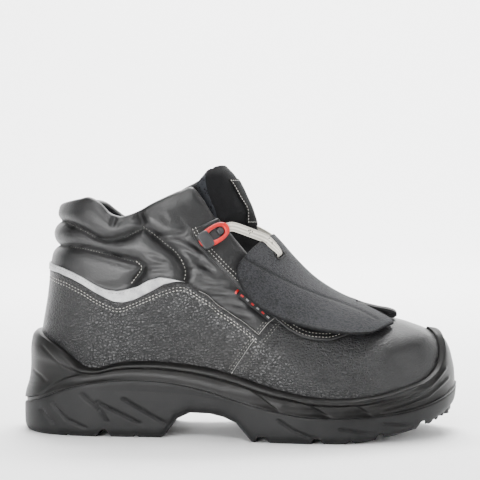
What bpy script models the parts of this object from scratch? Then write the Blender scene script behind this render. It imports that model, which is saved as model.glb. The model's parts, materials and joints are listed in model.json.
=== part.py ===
"""Metatarsal guard boot, right foot, as separate pieces.

Every size is in millimetres and becomes metres when a mesh is made.
x runs from the sole's back towards the toe, y to the wearer's left (the
medial side), z up from the floor. The part's origin lies on the floor
under the heel, HEEL_CENTRE in front of the sole's back.

The upper is a sheet laid round the foot. Its first coordinate is the
station: 0 at the back of the heel, LAST at the toe, up the lateral side
and back down the medial one. Its second is the level: 0 at the foot bed,
1 at the collar's and the throat's edge. Midsole, trim, eyestay and insole
are worked out from the same sheet.
"""
import math

import bmesh
import bpy
import numpy as np

MM = 0.001
HEEL_CENTRE = 48.0

LAST = 17.0
TURN = 2.0 * LAST
GAP = 0.35

WALL = 2.6
COLLAR_PAD = 7.6
COLLAR_PAD_END = 8.2
THROAT_START = 9.2
LEATHER_STEP = 1.1
STEP_WIDTH = 1.6
SEAM_DEPTH = 2.8
SEAM_WIDTH = 4.0
SIDE_LENGTH = 130.0

# station, x, half width, height: the upper's lines, from foot bed to top edge
BED_LINE = (
    (0, 13.5, 0.0, 33.0),
    (1, 16.0, 13.5, 33.0),
    (2, 22.5, 24.0, 33.0),
    (3, 35.0, 31.0, 33.0),
    (4, 52.0, 34.0, 33.0),
    (5, 72.0, 34.0, 33.0),
    (6, 94.0, 33.0, 32.8),
    (7, 117.0, 33.5, 32.0),
    (8, 140.0, 36.5, 29.5),
    (9, 162.0, 41.5, 25.5),
    (10, 184.0, 46.0, 21.5),
    (11, 207.0, 48.7, 18.5),
    (12, 230.0, 48.7, 17.3),
    (13, 251.0, 46.2, 17.5),
    (14, 270.0, 40.5, 18.5),
    (15, 286.0, 31.0, 19.5),
    (16, 297.5, 17.5, 20.3),
    (17, 302.5, 0.0, 20.8),
)
LOW_LINE = (
    (0, 13.5, 0.0, 66.0),
    (1, 16.5, 14.5, 66.0),
    (2, 23.0, 25.0, 64.0),
    (3, 36.0, 32.0, 60.0),
    (4, 52.0, 34.8, 57.0),
    (6, 94.0, 35.0, 57.0),
    (7, 117.0, 35.7, 56.5),
    (8, 140.0, 38.2, 54.0),
    (9, 162.0, 42.7, 50.0),
    (10, 184.0, 47.2, 45.5),
    (11, 207.0, 49.7, 42.5),
    (12, 230.0, 49.7, 41.5),
    (13, 251.0, 47.0, 42.0),
    (14, 270.0, 41.2, 43.0),
    (15, 287.0, 31.5, 45.0),
    (16, 298.6, 18.0, 47.0),
    (17, 303.5, 0.0, 48.0),
)
MID_LINE = (
    (0, 18.5, 0.0, 98.0),
    (2, 27.0, 24.5, 97.0),
    (4, 50.0, 34.8, 93.0),
    (6, 93.0, 37.5, 90.0),
    (8, 138.0, 41.0, 85.0),
    (10, 182.0, 45.5, 72.0),
    (12, 229.0, 46.0, 60.0),
    (13, 249.0, 43.5, 60.0),
    (14, 267.0, 38.0, 61.5),
    (15, 282.5, 29.0, 63.8),
    (16, 292.5, 16.5, 66.0),
    (17, 296.0, 0.0, 67.0),
)
HIGH_LINE = (
    (0, 21.8, 0.0, 131.0),
    (2, 30.0, 24.5, 131.0),
    (4, 50.0, 36.0, 129.0),
    (5, 71.0, 39.0, 124.0),
    (6, 93.0, 40.0, 125.0),
    (7, 114.0, 39.5, 123.0),
    (8, 134.0, 38.5, 116.0),
    (9, 155.0, 38.0, 106.0),
    (10, 178.0, 36.5, 95.0),
    (11, 203.0, 35.0, 84.5),
    (12, 226.0, 33.5, 77.0),
    (13, 244.0, 31.0, 74.0),
    (14, 258.0, 26.5, 74.8),
    (15, 268.0, 19.5, 75.8),
    (16, 274.0, 10.5, 76.7),
    (17, 276.0, 0.0, 77.0),
)
TOP_LINE = (
    (0, 25.0, 0.0, 162.0),
    (1, 27.0, 12.5, 162.7),
    (2, 33.5, 23.5, 164.2),
    (3, 44.0, 32.0, 166.2),
    (4, 54.0, 36.0, 166.8),
    (4.6, 61.0, 37.5, 163.0),
    (5, 67.5, 38.5, 156.8),
    (5.4, 75.0, 39.0, 154.0),
    (6, 88.0, 39.0, 157.5),
    (6.5, 98.0, 38.0, 163.0),
    (7, 110.0, 35.5, 168.8),
    (7.5, 120.0, 32.0, 173.0),
    (8, 127.0, 29.5, 174.3),
    (8.4, 134.0, 28.5, 166.0),
    (8.8, 139.0, 28.0, 156.5),
    (9.2, 145.3, 27.2, 148.0),
    (10, 161.5, 25.0, 127.0),
    (11, 184.0, 21.5, 106.3),
    (12, 206.5, 18.0, 93.3),
    (13, 223.5, 15.0, 87.0),
    (14, 233.0, 12.0, 85.2),
    (15, 238.5, 8.0, 83.6),
    (16, 241.5, 4.0, 82.8),
    (17, 242.5, 0.0, 82.5),
)
# station, y of the foot's curved middle line, positive to the medial side
AXIS = ((0, -0.5), (4, -1.2), (7, -3.5), (9, -4.5), (11, -2.5), (13, 0.3), (15, 4.0), (17, 6.0))
# how much of that curve each of the five lines keeps
AXIS_SHARE = (1.0, 1.0, 0.75, 0.45, 0.2)

# x, height: lines that are seen on the side of the upper
SEAM_TOP_ROLL = ((20, 150.0), (33, 150.0), (41, 147.7), (50, 143.8), (57, 140), (64, 137.7),
                 (71, 137.7), (79, 140.1), (86, 143.6), (92.4, 146.3))
SEAM_FRONT_PAD = ((86, 160.0), (88, 155), (92.4, 146.6), (99.8, 141.5), (108.3, 134.7), (115, 129.4),
                  (119, 123.7), (121.3, 118.2), (121.4, 113.2), (120, 108.5))
SEAM_LOW_ROLL = ((20, 132.6), (38, 133.0), (50, 131.6), (66, 128.1), (81, 124.2), (89, 122.2),
                 (92.3, 119.0), (91.3, 115.4), (85.2, 107.3), (81.0, 102.5))
TRIM_TOP = ((15, 120.4), (22, 120.3), (35, 117.5), (43, 114.5), (50.5, 110.9), (58, 106.6),
            (66, 103), (74, 102.1), (81.4, 103.5), (89, 105.6), (96.4, 109.8), (104, 112), (111.7, 111),
            (122, 108.6))
TRIM_LOW = ((15, 115.2), (21, 115.2), (32, 113.8), (41.5, 110.3), (50, 106), (58, 101.3),
            (66, 97.1), (72.3, 94.6), (78.3, 94.3), (85.3, 95.9), (93, 99.5), (100.5, 103.4), (107, 107),
            (122, 107.6))
QUARTER_EDGE = ((120, 108.2), (125, 107.3), (131.4, 102.6), (137.7, 99.5), (143.9, 93.8), (150, 89.9),
                (156.2, 85.7), (162.6, 81.7), (173, 73.6))
VAMP_SEAM = ((188, 90), (184.3, 84.7), (179, 80.7), (173.1, 73.6), (167.2, 66), (161.8, 57.8),
             (156.4, 49.6), (150, 38))
EYESTAY_EDGE = ((120, 151), (124.7, 143.3), (128, 137.7), (133.7, 131), (143.2, 120.6), (152.1, 111.6),
                (160.4, 103.3), (172.4, 93.7), (182.7, 83.7), (192.9, 75.8), (202.1, 70.8), (211.2, 68.8),
                (221.3, 68.3), (231.4, 71), (240, 74.5), (246, 78.5), (248.5, 84))
EYESTAY_TOP = ((121, 141.4), (124.7, 143.3), (142.3, 152.2), (146, 154))

# station, height of the midsole's lip
LIP = ((0, 69), (1, 67.5), (2, 64), (3, 56.5), (3.7, 50), (4.2, 47.8), (5, 51.5), (6, 53.5), (7, 52.5),
       (8, 49.5), (9, 44), (10, 37.5), (11, 32.5), (12, 31), (13, 33), (14, 37.5), (15, 43.5),
       (15.5, 49.5), (16, 59), (16.5, 68.5), (17, 72.5))
# station, height of the moulded line between outsole and midsole
SOLE_LINE = ((0, 19), (1, 21), (2, 25), (3, 31.5), (4, 36.5), (5, 39.5), (6, 40), (7, 38), (8, 33.5),
             (9, 27.5), (10, 22.3), (11, 18.6), (12, 18), (13, 18.8), (14, 21), (15, 25), (16, 30), (17, 34))
# station, how far the outsole's wall stands outside the upper's lower edge
FLANGE = ((0, 13.5), (1, 12.5), (2, 9.5), (3, 7.2), (4, 6.2), (6, 5.8), (8, 6), (11, 6.3), (14, 6.3),
          (17, 6.5))
# share of the wall's height, then outward depth at the heel's back, at the sides and at the toe
MIDSOLE_SIDE = (
    (0.00, 13.5, 6.2, 6.5),
    (0.22, 13.2, 6.0, 6.6),
    (0.36, 7.2, 4.6, 6.0),
    (0.62, 7.0, 5.0, 6.0),
    (0.84, 6.6, 5.2, 5.4),
    (0.95, 4.4, 4.2, 4.2),
    (1.00, 2.2, 2.4, 2.6),
)
# x, height of the tread plane
TREAD = ((0, 0), (104, 0), (107, 2), (114, 13), (124, 18), (138, 18), (148, 16), (157, 12.5), (168, 0),
         (236, 0), (253, 2.5), (266, 4.8), (277, 7.5), (292, 11.5), (303, 16.5), (312, 22))
OUTSOLE_PLATE = 9.0
OUTSOLE_RIM = 2.8
MIDSOLE_FLOOR = 4.0
INSOLE_THICK = 3.5

# station, x and height of the tongue's middle line under the throat, and its thickness
TONGUE_THROAT = (
    (14.4, 234.0, 82.8, 2.6),
    (13, 222.5, 87.0, 2.8),
    (12, 206.8, 94.0, 3.2),
    (11, 188.5, 107.8, 3.8),
    (10, 174.5, 124.0, 4.6),
    (9.35, 169.0, 143.0, 5.6),
)
# side edge, shoulder and middle of the tongue above the throat, and its thickness
TONGUE_TOP = (
    ((134.5, 20.4, 157.5), (149.0, 20.4, 157.0), (164.6, 0.0, 157.5), 7.0),
    ((130.0, 19.6, 166.0), (146.0, 19.4, 166.0), (160.8, 0.0, 166.0), 8.0),
    ((127.3, 19.2, 173.5), (143.5, 18.4, 174.5), (156.6, 0.0, 174.8), 8.5),
    ((128.0, 18.2, 180.0), (140.5, 16.8, 183.0), (151.2, 0.0, 183.5), 8.5),
    ((132.5, 13.5, 185.8), (139.0, 11.5, 189.0), (145.2, 0.0, 190.0), 6.0),
)
TONGUE_ACROSS = (-1.0, -0.7, 0.0, 0.7, 1.0)
TONGUE_TUCK = 10.0
LABEL_PLACE = (0.52, 0.86, 0.30, 0.46)
LABEL_THICK = 0.8

# edge, side, shoulder and middle of the guard, from its back to its front
GUARD_ROWS = (
    ((160.0, 45.5, 122.5), (165.0, 36.5, 129.5), (173.0, 18.5, 137.0), (180.0, 0.0, 140.6)),
    ((159.0, 50.5, 113.5), (171.0, 39.0, 120.8), (180.5, 20.0, 130.0), (186.0, 0.0, 134.3)),
    ((168.0, 54.0, 98.0), (182.0, 41.5, 107.8), (191.5, 21.5, 118.2), (197.0, 0.0, 122.6)),
    ((186.0, 55.0, 86.5), (198.0, 42.0, 96.8), (206.0, 22.0, 106.4), (210.0, 0.0, 110.4)),
    ((210.0, 53.5, 79.2), (216.0, 39.5, 89.0), (220.5, 21.5, 97.4), (222.0, 0.0, 101.8)),
    ((234.0, 48.0, 75.6), (237.0, 35.0, 84.5), (236.0, 20.0, 91.7), (231.0, 0.0, 96.8)),
    ((250.0, 40.0, 75.2), (260.0, 30.0, 78.8), (264.0, 18.5, 82.6), (237.0, 0.0, 94.9)),
)
GUARD_ACROSS = (-1.0, -0.72, -0.36, 0.0, 0.36, 0.72, 1.0)
GUARD_THICK = 2.4
LINING_THICK = 1.6
LINING_PLACE = (0.0, 0.66, 0.86)
NOTCH = (239.0, 270.0, 17.0)
SLOT_PLACE = (0.235, 0.31)
SLOT_SIZE = (3.4, 9.0, 16.0)

STAY_SIDE = 7.75
STAY_BACK_OFF = 1.0
STAY_THICK = 1.3
TRIM_END = 7.05
TRIM_THICK = 0.8

# x, height: folded tape in the guard's front notch, outer side of the hairpin
STRAP_ROUTE = ((240.2, 92.6), (247.0, 91.0), (255.0, 89.2), (262.0, 88.0), (266.6, 86.2), (267.6, 83.6),
               (265.0, 81.6), (260.0, 82.0), (255.5, 82.8))
STRAP_HALF_WIDTH = 7.6
STRAP_THICK = 1.6

HOOK_STATION = 8.5
HOOK_HEIGHT = 139.5
HOOK_SLOPE = (0.83, 0.56)
HOOK_BASE = (14.0, 10.0, 2.0)
HOOK_LOOP = (24.0, 13.0, 2.8)
HOOK_HOLE = (12.5, 7.2)
LACE_WIDTH = 6.4
LACE_THICK = 1.3
LACE_BARS = (10.5, 10.85, 11.2, 11.55, 11.9, 12.25)

# x from and to, depth: grooves across the tread
TREAD_GROOVES = ((60, 68, 5.3), (85, 88.5, 1.6), (171, 179, 4.3), (209.5, 216.5, 3.8), (233.5, 238.5, 2.6),
                 (253, 258.5, 4.0), (282, 288, 4.0))
# x from and to, y, width, depth: grooves along the tread
LONG_GROOVES = ((20, 56, 15, 4.5, 3.4), (72, 98, 15, 4.5, 3.4), (184, 204, 20, 5, 3.4),
                (221, 248, 19, 5, 3.4))

COLUMN_STEP = 0.5
EXTRA_COLUMNS = (6.3, 6.75, 8.75, 9.25)


def blend(start, end, first, final, width, u):
    """Cubic between two values with their slopes at both ends."""
    near = start * (2 * u ** 3 - 3 * u ** 2 + 1) + first * width * (u ** 3 - 2 * u ** 2 + u)
    return near + end * (3 * u ** 2 - 2 * u ** 3) + final * width * (u ** 3 - u ** 2)


def hermite(knots, values, where, period=0.0):
    """Reads the smooth curve through values at knots, at every place in where."""
    knots = np.asarray(knots, float)
    values = np.asarray(values, float).reshape(len(knots), -1)
    where = np.asarray(where, float)
    if period:
        knots = np.concatenate((knots[-2:] - period, knots, knots[:3] + period))
        values = np.concatenate((values[-2:], values, values[:3]))
        where = np.mod(where, period)
    else:
        knots = np.concatenate(([2 * knots[0] - knots[1]], knots, [2 * knots[-1] - knots[-2]]))
        values = np.concatenate(([2 * values[0] - values[1]], values, [2 * values[-1] - values[-2]]))
        where = np.clip(where, knots[1], knots[-2])
    span = np.diff(knots)[:, None]
    slope = np.diff(values, axis=0) / span
    tangent = (slope[:-1] * span[1:] + slope[1:] * span[:-1]) / (span[:-1] + span[1:])
    low = np.clip(np.searchsorted(knots, where, side="right") - 1, 1, len(knots) - 3)
    u = (where - knots[low])[:, None] / span[low]
    return blend(values[low], values[low + 1], tangent[low - 1], tangent[low], span[low], u)


def by_station(table, stations):
    """Reads one of the station tables, the same on both sides of the foot."""
    stations = np.mod(stations, TURN)
    side = np.minimum(stations, TURN - stations)
    columns = np.asarray(table, float)
    return hermite(columns[:, 0], columns[:, 1:], side)


def closed_line(line, share):
    """Rows of station, x, y and height all round the foot, from a table of side points."""
    rows = []
    for station, x, half, height in line:
        middle = float(by_station(AXIS, [station])[0, 0]) * share
        rows.append((station, x, middle - half, height))
        if 0 < station < LAST:
            rows.append((TURN - station, x, middle + half, height))
    return np.array(sorted(rows))


LINES = [closed_line(line, share) for line, share in
         zip((BED_LINE, LOW_LINE, MID_LINE, HIGH_LINE, TOP_LINE), AXIS_SHARE)]


def sheet(stations, levels):
    """Points on the upper's outer sheet, without seams or steps."""
    stations = np.asarray(stations, float)
    levels = np.clip(np.asarray(levels, float), 0.0, 1.0)
    points = np.stack([hermite(rows[:, 0], rows[:, 1:], stations, period=TURN) for rows in LINES], axis=1)
    before = 2 * points[:, :1] - points[:, 1:2]
    after = 2 * points[:, -1:] - points[:, -2:-1]
    points = np.concatenate((before, points, after), axis=1)
    reach = np.linalg.norm(np.diff(points, axis=1), axis=2)
    knots = np.concatenate((np.zeros((len(stations), 1)), np.cumsum(reach, axis=1)), axis=1)
    knots = (knots - knots[:, 1:2]) / (knots[:, -2:-1] - knots[:, 1:2])
    low = np.clip((knots[:, 1:-1] <= levels[:, None] + 1e-9).sum(axis=1), 1, 4)
    rows = np.arange(len(stations))
    span = np.diff(knots, axis=1)[:, :, None]
    slope = np.diff(points, axis=1) / span
    tangent = (slope[:, :-1] * span[:, 1:] + slope[:, 1:] * span[:, :-1]) / (span[:, :-1] + span[:, 1:])
    width = span[rows, low]
    u = ((levels - knots[rows, low])[:, None]) / width
    start, end = points[rows, low], points[rows, low + 1]
    return blend(start, end, tangent[rows, low - 1], tangent[rows, low], width, u)


def outward(stations, levels):
    """Unit normals of the upper's sheet, away from the foot."""
    stations = np.asarray(stations, float)
    levels = np.clip(np.asarray(levels, float), 0.0, 1.0)
    along = sheet(stations + 0.05, levels) - sheet(stations - 0.05, levels)
    above = np.minimum(levels + 0.01, 1.0)
    below = np.maximum(levels - 0.01, 0.0)
    rise = sheet(stations, above) - sheet(stations, below)
    normal = np.cross(along, rise)
    return normal / np.linalg.norm(normal, axis=1)[:, None]


def distance(points, line):
    """Signed side-view distance to a line: positive on its left, as it runs."""
    flat = points[:, (0, 2)]
    line = np.asarray(line, float)
    best = np.full(len(flat), 1e9)
    signed = np.zeros(len(flat))
    for start, end in zip(line[:-1], line[1:]):
        run = end - start
        share = np.clip(((flat - start) @ run) / (run @ run), 0.0, 1.0)
        offset = flat - (start + share[:, None] * run)
        length = np.linalg.norm(offset, axis=1)
        side = np.sign(run[0] * (flat - start)[:, 1] - run[1] * (flat - start)[:, 0])
        nearer = length < best
        best = np.where(nearer, length, best)
        signed = np.where(nearer, length * side, signed)
    return signed


def ease(value):
    """Smooth step from 0 to 1."""
    value = np.clip(value, 0.0, 1.0)
    return value * value * (3.0 - 2.0 * value)


def crossing(stations, line, first=0.0, final=1.0):
    """Level at which each side line meets a line that is drawn on the side view."""
    line = np.asarray(line, float)
    levels = np.linspace(first, final, 121)
    found = []
    for station in stations:
        path = sheet(np.full(len(levels), station), levels)[:, (0, 2)]
        start = path[:-1, None, :]
        step = (path[1:] - path[:-1])[:, None, :]
        other = line[None, :-1, :]
        run = (line[1:] - line[:-1])[None, :, :]
        cross = step[..., 0] * run[..., 1] - step[..., 1] * run[..., 0]
        cross = np.where(np.abs(cross) < 1e-9, 1e-9, cross)
        gap = other - start
        here = (gap[..., 0] * run[..., 1] - gap[..., 1] * run[..., 0]) / cross
        there = (gap[..., 0] * step[..., 1] - gap[..., 1] * step[..., 0]) / cross
        hit = (here >= 0) & (here <= 1) & (there >= 0) & (there <= 1)
        index = np.argwhere(hit)
        if len(index):
            first_hit = index[0]
            found.append(levels[first_hit[0]] + here[tuple(first_hit)] * (levels[1] - levels[0]))
        else:
            found.append(np.nan)
    return np.array(found)


def level_at_height(stations, heights):
    """Level at which each side line first reaches a height."""
    levels = np.linspace(0.0, 0.8, 161)
    found = []
    for station, height in zip(stations, heights):
        path = sheet(np.full(len(levels), station), levels)[:, 2]
        path = np.maximum.accumulate(path) + np.arange(len(path)) * 1e-7
        found.append(float(np.interp(height, path, levels)))
    return np.array(found)


def collar_share(stations):
    """1 at the padded collar, 0 from the throat's start to the toe."""
    side = np.mod(stations, TURN)
    side = np.minimum(side, TURN - side)
    return 1.0 - ease((side - COLLAR_PAD_END) / (THROAT_START - COLLAR_PAD_END))


def relief(points):
    """Steps and seams of the upper's wall, outward from its sheet."""
    seams = [np.exp(-(distance(points, line) / SEAM_WIDTH) ** 2)
             for line in (SEAM_TOP_ROLL, SEAM_LOW_ROLL, SEAM_FRONT_PAD)]
    pads = -SEAM_DEPTH * np.max(seams, axis=0)
    quarter_line = TRIM_TOP[:-1] + QUARTER_EDGE
    quarter = ease(-distance(points, quarter_line) / STEP_WIDTH + 0.5)
    vamp = ease(distance(points, VAMP_SEAM) / STEP_WIDTH + 0.5)
    stay = ease(distance(points, EYESTAY_EDGE) / STEP_WIDTH + 0.5)
    return pads * (1.0 - quarter) * (1.0 - stay) + LEATHER_STEP * np.maximum(np.maximum(quarter, vamp), stay)


def wall_point(stations, levels, depth, stepped=True):
    """Points at a depth inside the upper's outer face."""
    points = sheet(stations, levels)
    lift = relief(points) if stepped else np.zeros(len(points))
    return points + outward(stations, levels) * (lift - depth)[:, None]


def columns():
    """Stations of the mesh's columns, the same for every ring."""
    side = np.arange(0.0, LAST + COLUMN_STEP / 2, COLUMN_STEP)
    side = np.unique(np.concatenate((side, EXTRA_COLUMNS)))
    return np.concatenate((side, TURN - side[-2:0:-1]))


STATIONS = columns()
LIP_LEVEL = level_at_height(STATIONS, by_station(LIP, STATIONS)[:, 0])


def finish(name, verts, faces, colour, roughness, metallic=0.0):
    """Makes one named object with its own material from millimetre points."""
    verts = np.asarray(verts, float) - np.array((HEEL_CENTRE, 0.0, 0.0))
    mesh = bpy.data.meshes.new(name)
    mesh.from_pydata((verts * MM).tolist(), [], [tuple(int(i) for i in face) for face in faces])
    mesh.validate()
    work = bmesh.new()
    work.from_mesh(mesh)
    if work.calc_volume(signed=True) < 0:
        bmesh.ops.reverse_faces(work, faces=work.faces)
    work.to_mesh(mesh)
    work.free()
    mesh.shade_smooth()
    mesh.set_sharp_from_angle(angle=math.radians(40))
    material = bpy.data.materials.new(name)
    material.use_nodes = True
    shader = material.node_tree.nodes["Principled BSDF"]
    shader.inputs["Base Color"].default_value = (*colour, 1.0)
    shader.inputs["Roughness"].default_value = roughness
    shader.inputs["Metallic"].default_value = metallic
    mesh.materials.append(material)
    item = bpy.data.objects.new(name, mesh)
    bpy.context.scene.collection.objects.link(item)
    return item


def skin(rings, closed):
    """Triangles between successive rings, split along the shorter diagonal."""
    count = len(rings[0])
    faces = []
    last = len(rings) if closed else len(rings) - 1
    for row in range(last):
        near = rings[row]
        far = rings[(row + 1) % len(rings)]
        here = row * count
        there = ((row + 1) % len(rings)) * count
        for i in range(count):
            j = (i + 1) % count
            if np.linalg.norm(near[i] - far[j]) < np.linalg.norm(near[j] - far[i]):
                faces += [(here + i, here + j, there + j), (here + i, there + j, there + i)]
            else:
                faces += [(here + i, here + j, there + i), (here + j, there + j, there + i)]
    return faces


def ladder(base, count, flip):
    """Cap of cross strips from the lateral half of a ring to the medial half."""
    half = count // 2
    faces = [(base, base + 1, base + count - 1)]
    for i in range(1, half - 1):
        faces.append((base + i, base + i + 1, base + count - i - 1, base + count - i))
    faces.append((base + half - 1, base + half, base + half + 1))
    return [tuple(reversed(face)) for face in faces] if flip else faces


def capped(name, rings, colour, roughness):
    """A solid from stacked rings, closed at both ends with ladders."""
    count = len(rings[0])
    faces = skin(rings, False)
    faces += ladder(0, count, True)
    faces += ladder((len(rings) - 1) * count, count, False)
    return finish(name, np.concatenate(rings), faces, colour, roughness)


def make_upper():
    """Hollow wall from the foot bed to the collar's and throat's edge."""
    count = len(STATIONS)
    length = np.zeros(count)
    steps = np.linspace(0.0, 1.0, 25)
    path = [sheet(STATIONS, np.full(count, step)) for step in steps]
    for here, there in zip(path[:-1], path[1:]):
        length += np.linalg.norm(there - here, axis=1)
    collar = collar_share(STATIONS)
    thick_top = WALL + (COLLAR_PAD - WALL) * collar
    radius = thick_top / 2
    shoulder = 1.0 - radius / length

    def thickness(levels):
        return WALL + (thick_top - WALL) * ease((levels - 0.45) / 0.35)

    rings = []
    for share in (0.0, 1 / 3, 2 / 3, 1.0):
        rings.append(wall_point(STATIONS, LIP_LEVEL * share, np.zeros(count)))
    for share in (0.16, 0.32, 0.46, 0.58, 0.68, 0.77, 0.85, 0.93, 1.0):
        levels = LIP_LEVEL + (shoulder - LIP_LEVEL) * share
        rings.append(wall_point(STATIONS, levels, np.zeros(count)))
    for angle in (45.0, 90.0, 135.0):
        turn = math.radians(angle)
        levels = 1.0 - radius * (1.0 - math.sin(turn)) / length
        depth = radius * (1.0 - math.cos(turn))
        rings.append(wall_point(STATIONS, levels, depth, stepped=False))
    for share in (1.0, 0.75, 0.5, 0.24, 0.0):
        levels = shoulder * share
        rings.append(wall_point(STATIONS, levels, thickness(levels), stepped=False))
    return finish("upper", np.concatenate(rings), skin(rings, True), (0.045, 0.045, 0.047), 0.5)


def sole_ring(heights, depth):
    """Ring round the sole at given heights, outside the upper's lower wall."""
    bed = sheet(STATIONS, np.zeros(len(STATIONS)))
    levels = level_at_height(STATIONS, heights)
    points = sheet(STATIONS, levels)
    normal = outward(STATIONS, levels)
    flat = outward(STATIONS, np.full(len(STATIONS), 0.02))
    flat[:, 2] = 0.0
    flat /= np.linalg.norm(flat, axis=1)[:, None]
    under = heights < bed[:, 2]
    points = np.where(under[:, None], np.column_stack((bed[:, :2], heights)), points)
    normal = np.where(under[:, None], flat, normal)
    return points + normal * np.asarray(depth).reshape(-1, 1)


def blend_depth(row):
    """Outward depth round the foot from its heel, side and toe values."""
    _, heel, side, toe = row
    station = np.minimum(STATIONS, TURN - STATIONS)
    depth = side + (heel - side) * (1.0 - ease(station / 3.2))
    return depth + (toe - side) * ease((station - 13.0) / 3.0)


def make_midsole():
    """Cup that takes the upper's lower edge, with heel and toe bumpers."""
    line = by_station(SOLE_LINE, STATIONS)[:, 0]
    lip = by_station(LIP, STATIONS)[:, 0]
    bed = sheet(STATIONS, np.zeros(len(STATIONS)))
    flange = by_station(FLANGE, STATIONS)[:, 0]
    tread = np.interp(bed[:, 0], *np.transpose(TREAD))
    well = np.minimum(np.minimum(tread + OUTSOLE_PLATE, line - 3.0), bed[:, 2] - MIDSOLE_FLOOR) + GAP
    rings = [sole_ring(well, flange - OUTSOLE_RIM - GAP)]
    rings.append(sole_ring(line + GAP, flange - OUTSOLE_RIM - GAP))
    for row in MIDSOLE_SIDE:
        heights = line + GAP + (lip - line - GAP) * row[0]
        rings.append(sole_ring(heights, blend_depth(row)))
    for share in (1.0, 2 / 3, 1 / 3, 0.0):
        rings.append(wall_point(STATIONS, LIP_LEVEL * share, np.full(len(STATIONS), -GAP)))
    floor = rings[-1].copy()
    floor[:, 2] = bed[:, 2] - GAP
    rings[-1] = floor
    return capped("midsole", rings, (0.03, 0.03, 0.03), 0.45)


def make_outsole():
    """Tread unit: plate, side wall up to the moulded line, heel and lugs."""
    line = by_station(SOLE_LINE, STATIONS)[:, 0]
    bed = sheet(STATIONS, np.zeros(len(STATIONS)))
    flange = by_station(FLANGE, STATIONS)[:, 0]
    tread = np.interp(bed[:, 0], *np.transpose(TREAD))
    well = np.minimum(np.minimum(tread + OUTSOLE_PLATE, line - 3.0), bed[:, 2] - MIDSOLE_FLOOR)
    rings = []
    for lift, inset in ((0.0, 4.0), (2.0, 1.6), (6.0, 0.4)):
        height = np.minimum(tread + lift, line - 2.0)
        rings.append(sole_ring(height, flange - inset))
    rings.append(sole_ring(line, flange))
    rings.append(sole_ring(line, flange - OUTSOLE_RIM))
    rings.append(sole_ring(well, flange - OUTSOLE_RIM))
    return capped("outsole", rings, (0.04, 0.04, 0.04), 0.6)


def make_insole():
    """Loose foot bed inside the upper's lower edge."""
    base = wall_point(STATIONS, np.zeros(len(STATIONS)), np.full(len(STATIONS), WALL + 0.6), stepped=False)
    top = base.copy()
    bed = sheet(STATIONS, np.zeros(len(STATIONS)))
    base[:, 2] = bed[:, 2] + GAP
    top[:, 2] = bed[:, 2] + GAP + INSOLE_THICK
    return capped("insole", [base, top], (0.08, 0.08, 0.085), 0.9)


def net(rows, across, facing=1.0):
    """Reads a smooth sheet through control rows; places run 0 to 1 and -1 to 1."""
    rows = np.asarray(rows, float)
    along = np.linspace(0.0, 1.0, len(rows))
    flat = rows.reshape(len(rows), -1)
    def read(v, w):
        v = np.asarray(v, float)
        w = np.asarray(w, float)
        lines = hermite(along, flat, v).reshape(len(v), rows.shape[1], 3)
        return np.array([hermite(across, line, [place])[0] for line, place in zip(lines, w)])

    def place(v, w):
        step = 0.004
        point = read(v, w)
        ahead = read(np.minimum(v + step, 1.0), w) - read(np.maximum(v - step, 0.0), w)
        aside = read(v, np.minimum(w + step, 1.0)) - read(v, np.maximum(w - step, -1.0))
        normal = np.cross(aside, ahead) * facing
        return point, normal / np.linalg.norm(normal, axis=1)[:, None], ahead, aside

    return place


def both_sides(row):
    """A control row from its lateral half, mirrored to the medial side."""
    lateral = [(x, -y, z) for x, y, z in row]
    medial = [(x, y, z) for x, y, z in reversed(row[:-1])]
    return lateral + medial


def grid(first, final, reach, along, across):
    """Places of a grid on a net, as flat lists."""
    v, w = np.meshgrid(np.linspace(first, final, along), np.linspace(-reach, reach, across), indexing="ij")
    return v.ravel(), w.ravel()


def shell(name, outer, inner, size, colour, roughness, keep=None):
    """Closed plate between two point grids; keep masks the cells that stay."""
    along, across = size
    cells = np.ones((along - 1, across - 1), bool) if keep is None else keep
    outer_faces = []
    inner_faces = []
    count = along * across

    def there(i, j):
        return 0 <= i < along - 1 and 0 <= j < across - 1 and cells[i, j]

    sides = (((0, 0), (0, 1), (-1, 0)), ((0, 1), (1, 1), (0, 1)),
             ((1, 1), (1, 0), (1, 0)), ((1, 0), (0, 0), (0, -1)))
    walls = []
    for i in range(along - 1):
        for j in range(across - 1):
            if not cells[i, j]:
                continue
            corner = [i * across + j, i * across + j + 1, (i + 1) * across + j + 1, (i + 1) * across + j]
            outer_faces.append(tuple(corner))
            inner_faces.append(tuple(index + count for index in reversed(corner)))
            for (a, b), (c, d), (di, dj) in sides:
                if not there(i + di, j + dj):
                    start = (i + a) * across + j + b
                    end = (i + c) * across + j + d
                    walls.append((end, start, start + count, end + count))
    faces = outer_faces + inner_faces + walls
    verts = np.concatenate((outer, inner))
    used = sorted({index for face in faces for index in face})
    index = {old: new for new, old in enumerate(used)}
    faces = [tuple(index[i] for i in face) for face in faces]
    return finish(name, verts[used], faces, colour, roughness)


def tongue_net():
    """The tongue's outer sheet, tucked under the throat's edges below."""
    rows = []
    thick = []
    for station, x, height, depth in TONGUE_THROAT:
        side = []
        for place in (station, TURN - station):
            edge = wall_point([place], [1.0 - TONGUE_TUCK / SIDE_LENGTH], [WALL + 1.3], stepped=False)[0]
            shoulder = wall_point([place], [1.0], [WALL + 1.0], stepped=False)[0]
            side.append((edge, shoulder))
        rows.append([side[0][0], side[0][1], (x, 0.0, height), side[1][1], side[1][0]])
        thick.append(depth)
    for edge, shoulder, middle, depth in TONGUE_TOP:
        rows.append(both_sides((edge, shoulder, middle)))
        thick.append(depth)
    return net(rows, TONGUE_ACROSS), np.array(thick)


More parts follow.
